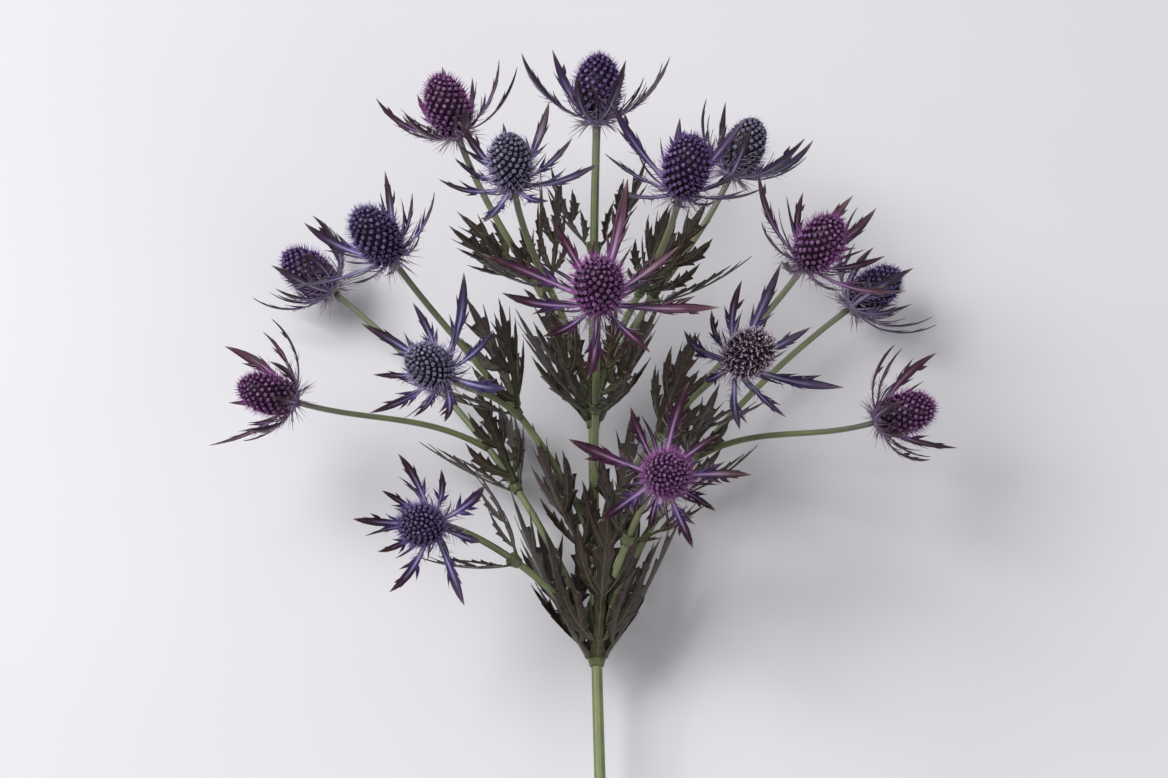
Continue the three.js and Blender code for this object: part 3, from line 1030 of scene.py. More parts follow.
@dataclass
class Finishes:
    """Every material of the stem, made once."""

    stalk: Material
    bract: Material
    rosy: Material
    leaf: Material
    floret: Material
    spine: Material

    @classmethod
    def mixed(cls) -> "Finishes":
        """Mixes the materials.

        Returns:
            All of them.
        """
        grain = grain_group()
        # The pale midrib of both bract skins is partly the bracts' own colour and partly a painted highlight
        # along the ridge.
        bract = BladeFinish(
            "bract_skin", Side.BRACT, rib="#c2b8dc", rib_width=0.14, rib_strength=0.7,
            rough=(0.26, 0.42), relief=0.5, gloss=0.3,
        )
        leaf = BladeFinish(
            "leaf_skin", Side.LEAF, rib="#77735e", rib_width=0.04, rib_strength=0.5,
            rough=(0.24, 0.42), relief=0.6, gloss=0.38,
        )
        return cls(
            stalk=StalkFinish().material(grain),
            bract=bract.material(grain),
            rosy=replace(bract, name="rosy_bract_skin", rib="#d8b2da", rib_strength=0.72).material(grain),
            leaf=leaf.material(grain),
            floret=SpeckledFinish("floret_skin", rough=0.55, scale=1500.0, spread=(0.7, 1.35)).material(),
            spine=SpeckledFinish("spine_skin", rough=0.42, scale=700.0, spread=(0.85, 1.15)).material(),
        )


@dataclass(frozen=True)
class Needles:
    """A head's needles: how many florets apart, how long, and by what share the low ones are longer."""

    spacing: float = 0.46
    reach: float = 4.3
    skirt: float = 0.0


NEEDLES = {Mood.SLATE: Needles(0.5, 3.7, 0.6), Mood.TAN: Needles(0.8, 3.8, 0.3)}

# Colours of the lowest needles, the styles' tips and the anthers.
LOW_NEEDLE, STYLE_TIP, ANTHER = (linear(code) for code in ("#c3a3cc", "#cfc3d6", "#c6b6b8"))

# A floret's five rings from its foot up: reach and height on its lobes and between them, and tone,
# a painted shade that darkens towards the foot, between the florets.
FLORET_SIDES = 10
FLORET_REACH = np.array([[0.5, 0.86, 0.94, 0.66, 0.28], [0.5, 0.8, 0.8, 0.58, 0.28]])
FLORET_HEIGHT = np.array([[-0.4, 0.5, 1.02, 1.24, 1.3], [-0.4, 0.5, 0.9, 1.24, 1.3]])
FLORET_SHADING = np.array([0.0, 0.1, 0.5, 1.05, 1.0])


@dataclass
class Head:
    """A thimble of crowded florets on a dark core, with stiff needles between the florets.

    Its sizes are in millimetres on a head of the common size.
    """

    branch: Branch
    radius: float = 6.8
    height: float = 20.5
    foot: float = 3.6
    widest: float = 0.42
    florets: int = 180
    floret_radius: float = 0.84
    stand_out: float = 1.15
    needle_radius: float = 0.21
    style_reach: float = 2.1
    style_radius: float = 0.09
    core_rings: int = 14
    core_sides: int = 28
    skin: Skin = field(init=False)
    dark: Array = field(init=False)
    rim: Array = field(init=False)
    needle: Array = field(init=False)

    def __post_init__(self) -> None:
        """Starts the mesh and reads the colours of furrows, rims and needles."""
        self.skin = Skin(f"florets_{self.branch.number + 1:02d}", self.laid)
        self.dark, self.rim, self.needle = (linear(code) for code in self.branch.sprig.mood.value[:3])

    def egg(self, share: Array) -> tuple[Array, Array]:
        """Radius of the core and its outward slope at a share of its height.

        Below the widest share the radius is foot + (radius - foot) times a quarter circle, and above it
        radius times a quarter circle.

        Args:
            share: Shares of the height.

        Returns:
            The radius, and the unit normal as (outward, upward).
        """

        def arc(part: Array) -> Array:
            """A quarter circle."""
            return np.sqrt(np.maximum(0.0, 1 - part * part))

        def profile(at: Array) -> Array:
            """The radius at shares of the height.

            Args:
                at: The shares.

            Returns:
                The radii.
            """
            above = self.radius * arc((at - self.widest) / (1 - self.widest))
            below = self.foot + (self.radius - self.foot) * arc((self.widest - at) / self.widest)
            return np.where(at > self.widest, above, below)

        step = 0.004
        low, high = np.clip(share - step, 0, 1), np.clip(share + step, 0, 1)
        slope = (profile(high) - profile(low)) / ((high - low) * self.height)
        return profile(share), unit(np.stack([np.ones_like(slope), -slope], axis=-1))

    def spots(self, number: Array) -> tuple[Array, Array, Array]:
        """Places even in area along the egg, closer together at the crown, and a golden angle apart.

        Args:
            number: Numbers of the places from the foot up; a share of one lies between two florets.

        Returns:
            Shares of the height, roots about the seat and the ways straight out of the core, unturned.
        """
        fine = np.linspace(0.02, 1, 600)
        radius, _ = self.egg(fine)
        step = np.hypot(np.diff(radius), np.diff(fine) * self.height)
        crowded = 1 + 0.9 * np.clip((fine[1:] - 0.7) / 0.3, 0, 1)
        area = np.concatenate([[0], np.cumsum(step * crowded * (radius[1:] + radius[:-1] + 1.6) / 2)])
        share = np.interp((number + 0.5) / self.florets * area[-1], area, fine)
        radius, slope = self.egg(share)
        out = level(number * GOLDEN + self.branch.number)
        root = out * radius[:, None] + UP * (FOOT_HEIGHT + share * self.height)[:, None]
        return share, root, out * slope[:, :1] + UP * slope[:, 1:]

    def laid(self, points: Array) -> Array:
        """Turns and sizes points of the upright head and sets them on the branch's seat.

        Args:
            points: Points about the seat, with +Z along the head, (n, 3).

        Returns:
            The points where they stand in the spray.
        """
        branch = self.branch
        across, above = square_to(branch.axis)
        return branch.seat + branch.sprig.size * points @ np.stack([across, above, branch.axis])

    def build(self) -> Skin:
        """Builds the core, the florets, the needles and the styles.

        Returns:
            The gathered mesh.
        """
        self.core()
        self.crowd()
        self.bristle()
        self.styles()
        return self.skin

    def core(self) -> None:
        """Adds the core, a tenth of a millimetre inside the egg.

        Its rings are at shares of the height of a sine, of 0 to a quarter turn, to the power 1.3, and so
        closer together at the top.
        """
        share = np.sin(np.linspace(0, np.pi / 2, self.core_rings)) ** 1.3 * 0.999
        radius, height = self.egg(share)[0] - 0.1, FOOT_HEIGHT + share * self.height
        ring = level(-full_turn(self.core_sides)) * radius[:, None, None] + UP * height[:, None, None]
        # The core takes the furrows' dark, partly its own colour and partly painted shade between the
        # florets.
        self.skin.lay(ring[None], None, self.dark, 0.5, 0.0)

    def crowd(self) -> None:
        """Adds the florets: small five-lobed buds, pale on top, with painted shade down their sides and
        between their lobes, a dark hollow of painted shade where they are open, and painted light towards
        the crown.

        A floret's point is root + way (height stand) + ring (reach grow), height and reach being those of
        its ring and grow and stand those of the floret.
        """
        number = np.arange(float(self.florets))
        share, root, way = self.spots(number)
        way = unit(way + 0.09 * stray(number, 1) + 0.12 * UP)
        opened = np.clip(0.35 + 0.8 * scatter(number, 13), 0, 1)
        points = np.arange(FLORET_SIDES)
        between = points % 2
        height = np.repeat(FLORET_HEIGHT[between].T[None], self.florets, axis=0)
        height[:, -1] -= 0.45 * opened[:, None]
        grow = self.floret_radius * (1.1 if self.branch.sprig.mood is Mood.SLATE else 1.0)
        grow = grow * (0.75 + 0.25 * np.clip((1 - share) / 0.25, 0, 1)) * (1 + 0.1 * scatter(number, 5))
        ring = round_axis(way, -points * np.pi / 5 + number[:, None] * 1.3)
        stand = self.stand_out * (0.85 + 0.2 * scatter(number, 7))
        middle = root[:, None, None] + way[:, None, None] * (height * stand[:, None, None])[..., None]
        grid = middle + ring[:, None] * (FLORET_REACH[between].T * grow[:, None, None])[..., None]
        # Painted shade: the tone falls from each floret's top towards its foot, into the shade between the
        # florets, and is lower between its lobes.
        tone = np.repeat(FLORET_SHADING[None], self.florets, axis=0)
        # Painted shade in the hollow: an open floret's top ring, and its tip, are darker.
        tone[:, -1] -= 0.75 * opened
        tone = tone[..., None] * np.where(between == 0, 1.0, 0.88)
        # Tone differs at random from floret to floret, and rises towards the crown, a painted light from
        # above.
        tone = tone * (1 + 0.5 * scatter(number, 9))[:, None, None] * (0.8 + 0.35 * share)[:, None, None]
        paint = self.dark + (self.rim - self.dark) * np.clip(tone, 0, 1.8)[..., None]
        tip = root + way * ((1.32 - 0.7 * opened) * stand)[:, None]
        self.skin.lay(grid, tip, paint, tone, 0.0, ends=(1.0, 0.8))

    def bristle(self) -> None:
        """Adds the needles between the florets, shorter and darker to the crown and paler to the foot.

        A slate head, still in bud, has half as many on its upper part.
        """
        mood = self.branch.sprig.mood
        kind = NEEDLES.get(mood, Needles())
        number = np.arange(0.45, self.florets, kind.spacing)
        if mood is Mood.SLATE:
            number = number[(number < 0.4 * self.florets) | (np.arange(len(number)) % 2 == 0)]
        share, root, way = self.spots(number)
        way = unit(way + 0.16 * stray(number, 21) + 0.1 * UP)
        length = (kind.reach + 0.7 * scatter(number, 11)) * (1 - 0.35 * np.clip((share - 0.6) / 0.4, 0, 1))
        length = length * (1 + kind.skirt * np.clip((0.6 - share) / 0.3, 0, 1))
        grid, tip = needles(
            root - way * 0.3, way, length * 0.92, self.needle_radius, UP * (0.22 * length)[:, None]
        )
        shade = (1.08 + 0.35 * scatter(number, 6)) * (1 - 0.42 * np.clip((share - 0.5) / 0.35, 0, 1))
        low = 0.4 * np.clip((0.52 - share) / 0.3, 0, 1)
        self.fringe(grid, tip, blend(self.needle * shade[:, None], LOW_NEEDLE, low), (0.0, 0.5, 1.3))

    def styles(self) -> None:
        """Adds one fine style to a floret, or four that end in pale anthers on a tan head."""
        opened = self.branch.sprig.mood is Mood.TAN
        number = np.repeat(np.arange(float(self.florets)), 4 if opened else 1)
        place = np.arange(len(number))
        _, root, way = self.spots(number)
        way = unit(way + (0.42 if opened else 0.15) * stray(place, 31))
        length = self.style_reach + 0.45 * scatter(place, 14)
        grid, tip = needles(root, way, length, self.style_radius, UP * (0.1 * length)[:, None])
        self.fringe(grid, tip, 0.6 * self.needle + 0.4 * STYLE_TIP, (0.2, 0.8, 1.0))
        if opened:
            self.anthers(tip, way)

    def fringe(self, grid: Array, tip: Array, colour: Array, tones: Triple) -> None:
        """Adds fine spikes, painted from the furrows' dark at the foot, partly painted shade among the
        florets, to their own colour.

        Args:
            grid: The spikes' rings.
            tip: The spikes' tips.
            colour: Colour of all spikes, or of each.
            tones: How much of their own colour the rings have.
        """
        own = np.broadcast_to(colour, (len(grid), 3))[:, None, None]
        paint = self.dark + (own - self.dark) * np.array(tones)[None, :, None, None]
        self.skin.lay(grid, tip, paint, 1.0, 0.0, look=1, ends=(1.0, 1.1))

    def anthers(self, tip: Array, way: Array) -> None:
        """Adds a small pale grain, askew, at the tip of every style: three rings of four points.

        Args:
            tip: The styles' tips.
            way: The styles' ways.
        """
        number = np.arange(len(tip))
        way = unit(way + 1.3 * stray(number, 51))
        ring = round_axis(way, -np.arange(4) * np.pi / 2)
        radius, height = np.array([0.09, 0.17, 0.12]), np.array([-0.42, 0.0, 0.36])
        height = height * (1 + 0.4 * scatter(number, 54))[:, None]
        middle = tip[:, None] + way[:, None] * height[..., None]
        grid = middle[:, :, None] + ring[:, None] * radius[:, None, None]
        shade = (0.9 + 0.7 * scatter(number, 41))[:, None, None, None]
        self.skin.lay(grid, middle[:, 2] + way * 0.1, ANTHER * shade, 1.0, 0.0, look=1)


# Half widths by the share from root to tip, in shares of the whole blade's length.
BRACT_WIDTHS = {
    0.0: 0.036, 0.14: 0.027, 0.35: 0.034, 0.52: 0.05, 0.64: 0.055, 0.78: 0.043, 0.89: 0.025,
    0.96: 0.01, 1.0: 0.002,
}
SLIP_WIDTHS = {0.0: 0.03, 0.5: 0.034, 0.85: 0.016, 1.0: 0.002}
TOOTH_WIDTHS = {0.0: 0.01, 0.2: 0.022, 0.42: 0.02, 0.7: 0.01, 0.9: 0.003, 1.0: 0.001}
LEAF_WIDTHS = {
    0.0: 0.045, 0.1: 0.03, 0.25: 0.032, 0.42: 0.042, 0.6: 0.048, 0.78: 0.036, 0.92: 0.014, 1.0: 0.002,
}
LOBE_WIDTHS = {0.0: 0.018, 0.22: 0.031, 0.48: 0.041, 0.72: 0.029, 0.9: 0.01, 1.0: 0.002}

# The middle of a lobe that is the whole blade, and the lobes of bracts.
STRAIGHT = ((0.0, 0.0), (0.5, 0.0), (1.0, 0.0))
BRACT_BLADE = Lobe(*STRAIGHT, BRACT_WIDTHS, rows=16, thick=0.6)
BRACT_SLIP = Lobe(*STRAIGHT, SLIP_WIDTHS, rows=8, columns=3, thick=0.45)
# A bract's teeth from the root on, each with how low a stray may be for the tooth to be there.
BRACT_TEETH = {
    -0.6: Lobe((0.3, 0.016), (0.42, 0.055), (0.54, 0.116), TOOTH_WIDTHS, rows=7, columns=3, thick=0.4),
    -0.4: Lobe((0.44, 0.026), (0.54, 0.072), (0.65, 0.112), TOOTH_WIDTHS, rows=7, columns=3, thick=0.36),
    -0.3: Lobe((0.58, 0.028), (0.67, 0.066), (0.76, 0.092), TOOTH_WIDTHS, rows=6, columns=3, thick=0.32),
    0.1: Lobe((0.72, 0.02), (0.78, 0.04), (0.85, 0.056), TOOTH_WIDTHS, rows=5, columns=3, thick=0.28),
}

# A leaf's blade and its lobes, from the root on.
LEAF_BLADE = Lobe(*STRAIGHT, LEAF_WIDTHS, columns=7, teeth=6, bite=1.15, thick=0.7, fold=0.2)
LOW_LOBE = Lobe(
    (0.08, 0.0), (0.2, 0.19), (0.5, 0.25), LOBE_WIDTHS, teeth=5, bite=1.15, thick=0.6, fold=0.2, crease=0.35,
)
LEAF_LOBES = (
    LOW_LOBE,
    replace(LOW_LOBE, start=(0.34, 0.0), bend=(0.45, 0.14), tip=(0.74, 0.18), teeth=4, bite=1.1, thick=0.55),
    Lobe((0.6, 0.0), (0.7, 0.06), (0.86, 0.11), TOOTH_WIDTHS, rows=6, fold=0.2),
)

# Colours by the share from root to tip.
BRACT_COLOURS = {
    0.0: "#9a90b8", 0.22: "#8f84b4", 0.34: "#5d4c8e", 0.48: "#3b2858",
    0.62: "#331a2c", 0.82: "#32181e", 0.94: "#4a3230", 1.0: "#b8a692",
}
UNDER_COLOURS = {0.0: "#6a6a58", 0.4: "#40344a", 1.0: "#28171f"}
THREAD_COLOURS = {0.0: "#6c5a92", 0.5: "#977ca2", 1.0: "#b39ea8"}
SPINE_COLOURS = {0.0: "#8d7d9c", 0.5: "#a99bb2", 1.0: "#6d4d66"}
CUP_COLOURS = {0.0: "#73784f", 0.5: "#8c7d9a", 1.0: "#544070"}
LEAF_COLOURS = {
    0.0: "#59613d", 0.1: "#434a26", 0.35: "#313415", 0.65: "#2a2110", 0.9: "#2c1214", 1.0: "#8f7d6a",
}
STALK_COLOURS = {0.0: "#666a54", 0.15: "#69704d", 1.0: "#667345"}

# Single colours: of a bract's edges and its teeth's dry tips, of a leaf's flush, edges and underside,
# of the sheath, and of the stalk just under a head.
BRACT_EDGE, TOOTH_TIP = "#1d0d21", "#a8957f"
LEAF_FLUSH, LEAF_EDGE, LEAF_UNDER = "#290f15", "#210c13", "#30271d"
SHEATH_GREEN, STALK_BLUSH = "#535a3c", "#5a4a5c"

# Profiles of the cup, as radius and height, and of the sheath, as radius over the bore and height.
CUP_PROFILE = np.array([[1.5, 0.2], [2.8, 0.35], [3.6, 0.8], [4.2, 1.6], [4.5, 2.4], [4.2, 3.0]])
SHEATH_PROFILE = np.array(
    [[0.0, -2.8], [0.2, -2.7], [0.42, -1.7], [0.72, -0.6], [0.92, 0.5], [0.8, 1.4], [0.4, 1.75], [0.0, 1.7]]
)


@dataclass
class Ruff:
    """The star of spiny bracts under a head, with narrow slips between and fine spines under.

    Its sizes are in millimetres on a head of the common size; `slip_share` is of a bract's length.
    """

    branch: Branch
    slips: int = 14
    spines: int = 64
    threads: int = 6
    slip_share: float = 0.48
    spine_reach: float = 6.4
    spine_radius: float = 0.22
    thread_reach: float = 4.1
    thread_radius: float = 0.19
    cup_sides: int = 27
    skin: Skin = field(init=False)

    def __post_init__(self) -> None:
        """Starts the mesh."""
        self.skin = Skin(f"ruff_{self.branch.number + 1:02d}")

    def paint(self, along: Array, across: Array, side: Array, tint: Array) -> Array:
        """Colours of bracts: pale lavender foot, violet, plum, maroon, a dry tip, and duller under.

        Args:
            along: Share from root to tip.
            across: Place from edge to edge.
            side: 1 where the surface faces up, -1 where it faces down.
            tint: How far each bract leans to the head's cast, 0 to 1.

        Returns:
            Linear colours.
        """
        cast, foot = (linear(code) for code in self.branch.sprig.mood.value[3:])
        base = blend(ramp(along, BRACT_COLOURS), foot, 0.75 * np.clip(1 - along / 0.42, 0, 1))
        base = blend(base, cast, tint * np.clip(3.0 * along - 0.4, 0.1, 1) * np.clip(1.25 - along, 0.1, 1))
        base = blend(base, linear(BRACT_EDGE), np.abs(across) ** 2 * 0.62)
        return blend(base, ramp(along, UNDER_COLOURS), np.where(side < 0, 0.55, 0.0))

    def build(self) -> Skin:
        """Builds the cup, the bracts with their teeth, the slips, the threads and the fine spines.

        Returns:
            The gathered mesh.
        """
        branch, number = self.branch, self.branch.number
        self.cup()
        k = np.arange(float(BRACTS))
        lines = star_lines(number, branch.sprig, k)
        lines.root = lines.root + branch.seat + branch.axis * 0.4
        tint = 0.5 + 0.5 * wobble(k + 17, number)
        self.blades(BRACT_BLADE, lines, tint, 1.0, np.ones(BRACTS))
        for place, (least, tooth) in enumerate(BRACT_TEETH.items()):
            for mirror in (1.0, -1.0):
                chance = wobble(7.3 * k + 3.1 * place, number + 2.7 * mirror)
                chosen = np.flatnonzero(chance > least)
                jitter = 1 + 0.3 * wobble(chosen + 3 * place, number + mirror)
                self.blades(tooth, lines.only(chosen), tint[chosen], mirror, jitter)
        k = np.arange(self.slips) * BRACTS / self.slips + 0.5
        short = star_lines(number, branch.sprig, k, self.slip_share, 6.0)
        short.root = short.root + branch.seat + branch.axis * 0.2
        short.length = short.length * (1 + 0.35 * scatter(k, number + 2))
        short.sweep = short.sweep + 0.25 * scatter(k, number + 5)
        self.blades(BRACT_SLIP, short, 0.5 + 0.5 * scatter(k, number), 1.0, np.ones(self.slips))
        self.edges(lines)
        self.bristles()
        return self.skin

    def cup(self) -> None:
        """Adds the shallow cup that the florets sit in: rings of the solid's profile, rounded."""
        branch = self.branch
        ring = round_axis(branch.axis, -full_turn(self.cup_sides))
        grid = ring[None] * CUP_PROFILE[:, :1, None] + branch.axis * CUP_PROFILE[:, 1:, None]
        paint = ramp(np.linspace(0, 1, len(CUP_PROFILE)), CUP_COLOURS)[None, :, None]
        self.skin.lay(branch.seat + branch.sprig.size * grid[None], None, paint, 0.1, 0.9, look=1)

    def blades(self, lobe: Lobe, lines: Lines, tint: Array, mirror: float, jitter: Array) -> None:
        """Adds one lobe of every bract on a set of lines.

        Args:
            lobe: The blade itself or one of its teeth.
            lines: The bracts' middle lines.
            tint: How far each bract leans to the head's cast.
            mirror: 1 or -1, the side of the bract that the lobe stands on.
            jitter: How far aside it reaches on each bract, 1 being as drawn.
        """
        grid, tip, own, across = lobe.drawn(lines, jitter, mirror)
        begin = lobe.start[0]
        share = begin + (lobe.tip[0] - begin) * own
        edge = 1.0 if begin == 0 else 0.0
        free = across * np.clip(2.4 * own + edge, 0, 1)
        paint = self.paint(share + 0.25 * begin * own, free, lobe.side, tint[:, None, None])
        paint = blend(paint, linear(TOOTH_TIP), 0.6 * (1 - edge) * np.clip((own - 0.7) / 0.3, 0, 1))
        across = across * edge + 0.7 * (1 - edge)
        self.skin.lay(grid, tip, paint, share, across, ends=(1.0, 1.2), crest=0.0)

    def edges(self, lines: Lines) -> None:
        """Adds fine threads along both edges of every bract's inner half; they lean to its tip.

        Args:
            lines: The bracts' middle lines.
        """
        mirror = np.repeat([-1.0, 1.0], self.threads)[:, None]
        place = np.tile(np.linspace(0.13, 0.44, self.threads), 2)
        number = 31 * np.arange(BRACTS)[:, None] + np.arange(len(place)) + 400 * self.branch.number
        point, along, side, face = lines.at(place + 0.04 * scatter(number, 61))
        root = point + side * mirror * 0.022 * lines.length[:, None, None]
        way = side * mirror * (0.8 + 0.25 * scatter(number, 62))[..., None] + along * 0.7
        way = unit(way + face * (0.35 * scatter(number, 63))[..., None]).reshape(-1, 3)
        length = (self.thread_reach + 1.7 * scatter(number, 64)).ravel()
        still = np.zeros_like(way)
        self.spikes(root.reshape(-1, 3), way, length, self.thread_radius, still, THREAD_COLOURS)

    def bristles(self) -> None:
        """Adds fine pale spines that stand out from the cup's foot, backwards and to all sides."""
        branch, number = self.branch, self.branch.number
        k = np.arange(self.spines)
        out = round_axis(branch.axis, k * GOLDEN + 0.4 * scatter(k, number))
        dip = 0.3 + 0.5 * scatter(k + 2, number)
        way = out * np.cos(dip)[:, None] - branch.axis * np.sin(dip)[:, None]
        root = branch.axis * (1.4 + 0.6 * scatter(k, 3))[:, None] + out * 3.3
        droop = branch.axis * (1.1 * scatter(k, 8))[:, None]
        length = self.spine_reach + 3.4 * scatter(k + 4, number)
        root = branch.seat + branch.sprig.size * root
        self.spikes(root, way, length, self.spine_radius, droop, SPINE_COLOURS)

    def spikes(
        self, root: Array, way: Array, length: Array, radius: float, droop: Array, stops: dict[float, str]
    ) -> None:
        """Adds fine spikes with colours of their own along them.

        Args:
            root: Where they stand.
            way: The ways that they point.
            length: How long they are on a head of the common size.
            radius: Half their thickness there.
            droop: How their tips are moved.
            stops: Their colours.
        """
        size = self.branch.sprig.size
        grid, tip = needles(root, way, size * length, radius * size, droop)
        self.skin.lay(grid, tip, ramp(NEEDLE_SHARES, stops)[None, :, None], 0.5, 0.0, look=1)


@dataclass
class Foliage:
    """A whorl of lobed spiny leaves, with the sheath that holds them to the stalk.

    The whorl stands `short` millimetres before its place on the branch. `flatter` and `steeper` are the
    degrees by which its leaves' feet and tips depart from the whorl's slope.
    """

    number: int
    whorl: Whorl
    branch: Branch
    short: float = 5.0
    flatter: float = 8.0
    steeper: float = 14.0
    sheath_sides: int = 36
    skin: Skin = field(init=False)

    def __post_init__(self) -> None:
        """Starts the mesh."""
        self.skin = Skin(f"foliage_{self.number + 1:02d}")

    def build(self) -> Skin:
        """Builds the sheath and the leaves.

        Returns:
            The gathered mesh.
        """
        whorl, branch, number = self.whorl, self.branch, self.number
        at = whorl.at - self.short / branch.curve.length()
        centre, way = branch.curve.at(at), branch.curve.way(at)
        bore = float(branch.radius(at)) + GAP + 0.1
        self.sheath(centre, way, bore)
        k = np.arange(float(whorl.leaves))
        turn = 2 * np.pi * (k + 0.08 * wobble(k, number + 40)) / whorl.leaves + np.radians(whorl.turn)
        out = round_axis(way, turn)
        lines = Lines(
            root=centre + out * (bore + 0.7),
            out=out,
            up=way,
            length=whorl.length * (1 + 0.1 * wobble(k + 6, number)),
            start=np.full(len(k), np.radians(whorl.slope - self.flatter)),
            end=np.radians(whorl.slope + self.steeper + 8 * wobble(k + 2, number)),
            sweep=0.06 * wobble(k + 9, number),
            twist=0.25 * wobble(k + 4, number),
        )
        self.blades(LEAF_BLADE, lines, 1, np.ones(len(k)))
        for place, lobe in enumerate(LEAF_LOBES, 1):
            for mirror in (1, -1):
                self.blades(lobe, lines, mirror, 1 + 0.15 * wobble(k + 5 * place, number + mirror))
        return self.skin

    def blades(self, lobe: Lobe, lines: Lines, mirror: int, jitter: Array) -> None:
        """Adds one lobe of every leaf.

        Args:
            lobe: The blade itself or one of its lobes.
            lines: The leaves' middle lines.
            mirror: 1 or -1, the side of the leaf that the lobe stands on.
            jitter: How far aside it reaches on each leaf, 1 being as drawn.
        """
        grid, tip, along, across = lobe.drawn(lines, jitter, mirror)
        begin = lobe.start[0]
        tint = 0.5 + 0.5 * wobble(np.arange(float(len(jitter))) + 3, self.number)
        free = across * (1.0 if begin == 0 else np.clip(2.4 * along, 0, 1))
        paint = self.paint(begin + (1 - begin) * along, free, lobe.side, tint[:, None, None])
        self.skin.lay(grid, tip, paint, along, across, crest=0.0)

    def paint(self, along: Array, across: Array, side: Array, tint: Array) -> Array:
        """Colours of leaves: green foot, brown-green, maroon to the tips and edges, and greyer under.

        Args:
            along: Share from root to tip.
            across: Place from edge to edge.
            side: 1 where the surface faces up, -1 where it faces down.
            tint: How far each leaf is flushed with maroon, 0 to 1.

        Returns:
            Linear colours.
        """
        base = ramp(along, LEAF_COLOURS)
        base = blend(base, linear(LEAF_FLUSH), 0.85 * tint * np.clip(0.2 + 1.5 * along, 0, 1))
        base = blend(base, linear(LEAF_EDGE), np.abs(across) ** 1.6 * 0.8)
        return blend(base, linear(LEAF_UNDER), np.where(side < 0, 0.6, 0.0))

    def sheath(self, centre: Array, way: Array, bore: float) -> None:
        """Adds the thin sleeve at the leaves' feet, a tapered ring that swells at each leaf.

        A point's radius is bore + profile swell. The swell is 0.78 + 0.34 cos(leaves (turn - first turn)),
        kept within bounds and faintly rippled.

        Args:
            centre: The whorl's middle.
            way: The stalk's way there.
            bore: Radius of the hole.
        """
        turn = -full_turn(self.sheath_sides)
        swell = 0.78 + 0.34 * np.cos(self.whorl.leaves * (turn - np.radians(self.whorl.turn)))
        swell = np.clip(swell, 0.55, 1.1) * (1 - 0.06 * np.cos(18 * turn))
        ring = round_axis(way, turn)[None] * (bore + SHEATH_PROFILE[:, :1, None] * swell[:, None])
        points = (centre + ring + way * SHEATH_PROFILE[:, 1:, None]).reshape(-1, 3)
        faces = bands(len(SHEATH_PROFILE), len(turn), closed=True)
        paint = np.broadcast_to(linear(SHEATH_GREEN), points.shape)
        self.skin.add(points, faces, paint, np.full(len(points), 0.1), np.full(len(points), 0.6))


@dataclass
class Stalk:
    """The whole green stalk: a ribbed tube on every branch, swollen at its foot."""

    branches: list[Branch]
    sides: int = 32
    ribs: int = 8
    relief: float = 0.035
    ring_gap: float = 3.5

    def build(self) -> Skin:
        """Builds a tube on every branch.

        The radius at a turn is the branch's own times 1 + relief cos(ribs turn), and swells just below
        a head and at a fork.

        Returns:
            The gathered mesh.
        """
        skin = Skin("stalk")
        turn = full_turn(self.sides)
        rib = np.cos(self.ribs * turn)
        for branch in self.branches:
            length = branch.curve.length()
            share = np.linspace(0, 1, max(20, int(length / self.ring_gap)))
            centre, way = branch.curve.at(share), branch.curve.way(share)
            bend = np.cross(way[0], way[-1])
            across = unit(bend - way * (way @ bend)[:, None])
            ring = circle(across, np.cross(way, across), turn)
            away = (1 - share) * length
            swell = 1 + 0.12 * np.exp(-((away / 3.0) ** 2)) - 0.04
            if branch.sprig.parent is not None:
                swell = swell + 0.14 * np.exp(-((share * length / 6.0) ** 2))
            radius = branch.radius(share)[:, None] * swell[:, None] * (1 + self.relief * rib)
            grid = centre[:, None] + ring * radius[..., None]
            green = ramp(np.clip(away / 160, 0, 1), STALK_COLOURS)
            paint = blend(green, linear(STALK_BLUSH), 0.4 * np.exp(-away / 9))[None, :, None]
            along = (share * length / 400)[None, :, None]
            skin.lay(grid[None], None, paint, along, rib, ends=(1.6 if branch.number == 0 else 1.0, 1.0))
        return skin


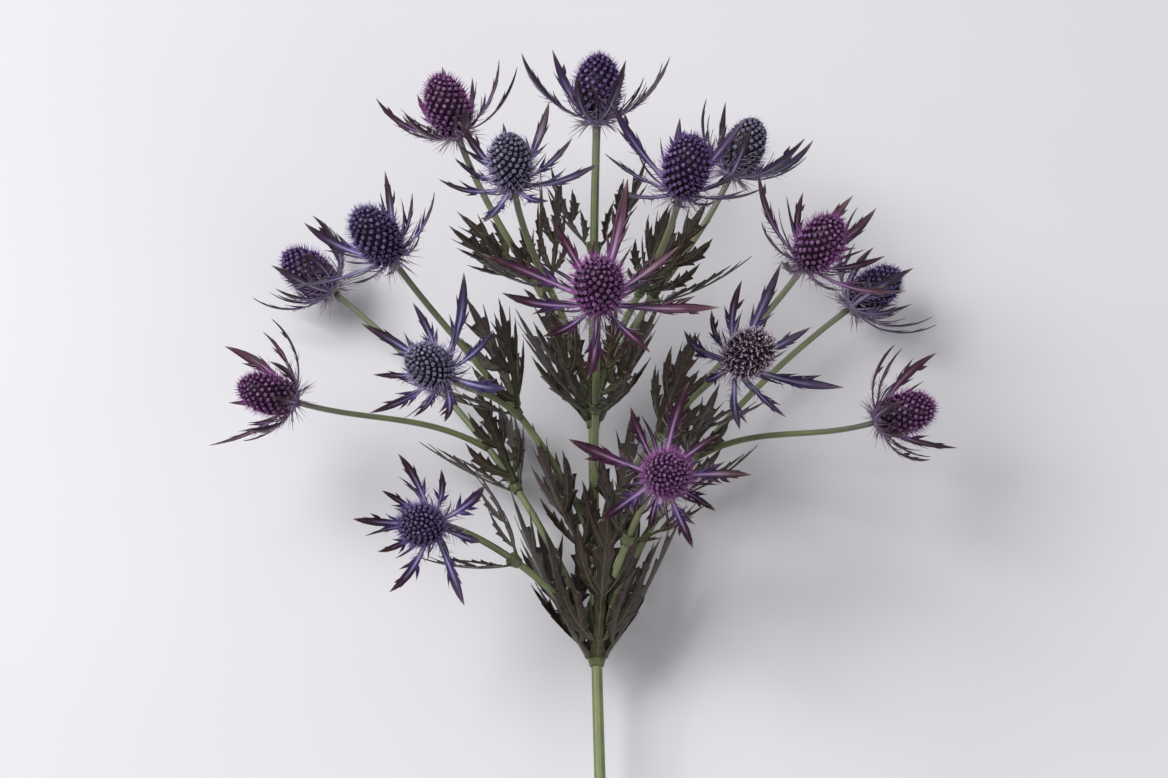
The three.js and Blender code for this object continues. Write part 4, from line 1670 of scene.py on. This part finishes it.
@dataclass(frozen=True)
class Studio:
    """The pale table, the soft lights and the camera."""

    aim: Triple = (0.0, 0.085, 0.06)
    tilt: float = 22.0
    distance: float = 1.15
    lens: float = 98.0
    room_light: float = 0.47
    room_tint: str = "#ececf0"
    table_tints: tuple[str, str] = ("#d3d3d8", "#d9d9dd")

    def put(self, name: str, data: bpy.types.ID) -> bpy.types.Object:
        """Puts a new object in the scene.

        Args:
            name: The object's name.
            data: Its mesh, lamp or camera.

        Returns:
            The object.
        """
        made = bpy.data.objects.new(name, data)
        bpy.context.scene.collection.objects.link(made)
        return made

    def table(self, reach: float = 6.0) -> None:
        """Lays a plain pale table with a faint mottle.

        Args:
            reach: Half the side of its square, in metres.
        """
        corners = [(-reach, -reach, 0.0), (reach, -reach, 0.0), (reach, reach, 0.0), (-reach, reach, 0.0)]
        mesh = bpy.data.meshes.new("table_top")
        mesh.from_pydata(corners, [], [(0, 1, 2, 3)])
        coat = Coat("table_paint")
        mottle = coat.toned(coat.noise(coat.place(), 3.0, 4.0), (0.0, 1.0))
        colour = coat.mix(mottle, *(opaque(tint) for tint in self.table_tints))
        mesh.materials.append(coat.finished(Base_Color=colour, Roughness=0.6))
        self.put("table_top", mesh)

    def lamp(self, name: str, place: Triple, size: float, watts: float, tint: str) -> None:
        """Hangs a square soft lamp that faces the spray.

        Args:
            name: The lamp's name.
            place: Where it hangs, in metres.
            size: Side of its square.
            watts: Its power.
            tint: Its colour.
        """
        data = bpy.data.lights.new(name, "AREA")
        data.size, data.energy = size, watts
        data.color = linear(tint).tolist()
        lamp = self.put(name, data)
        lamp.location = place
        away = np.array(place) - np.array(self.aim)
        heading = float(np.arctan2(away[0], -away[1]))
        lamp.rotation_euler = (float(np.arctan2(np.hypot(away[0], away[1]), away[2])), 0.0, heading)

    def camera(self) -> None:
        """Sets the camera above the spray, tilted a little towards the cut end."""
        data = bpy.data.cameras.new("camera")
        data.lens, data.clip_start, data.clip_end = self.lens, 0.01, 50.0
        tilt = np.radians(self.tilt)
        camera = self.put("camera", data)
        camera.location = np.array(self.aim) + self.distance * np.array([0.0, -np.sin(tilt), np.cos(tilt)])
        camera.rotation_euler = (float(tilt), 0.0, 0.0)
        bpy.context.scene.camera = camera

    def set_up(self) -> None:
        """Sets table, lamps, camera, surrounding light and colour handling."""
        self.table()
        self.lamp("key_light", (-0.95, 0.35, 1.45), size=0.9, watts=27.0, tint="#fffdfc")
        self.lamp("fill_light", (1.1, -0.7, 1.1), size=1.4, watts=6.5, tint="#fff8f2")
        world = bpy.data.worlds.new("soft_room")
        world.use_nodes = True
        room = world.node_tree.nodes["Background"].inputs
        room["Color"].default_value = opaque(self.room_tint)
        room["Strength"].default_value = self.room_light
        bpy.context.scene.world = world
        self.camera()
        bpy.context.scene.view_settings.view_transform = "Standard"


def main() -> None:
    """Builds the stalk, every head with its ruff, and every whorl of leaves, then the studio."""
    logging.basicConfig(level=logging.INFO, format="%(name)s %(message)s")
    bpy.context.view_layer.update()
    finishes = Finishes.mixed()
    branches = grown()
    Stalk(branches).build().stand([finishes.stalk], ["stem"], "stem")
    for branch in branches:
        number = f"{branch.number + 1:02d}"
        Head(branch).build().stand([finishes.floret, finishes.spine], [f"head_{number}"], "florets")
        skin = finishes.rosy if branch.sprig.mood is Mood.MAGENTA else finishes.bract
        Ruff(branch).build().stand([skin, finishes.spine], [f"bracts_{number}"], "bracts")
    for number, whorl in enumerate(WHORLS):
        foliage = Foliage(number, whorl, branches[whorl.branch])
        foliage.build().stand([finishes.leaf], [f"leaves_{number + 1:02d}"], "leaves")
    Studio().set_up()


if __name__ == "__main__":
    main()
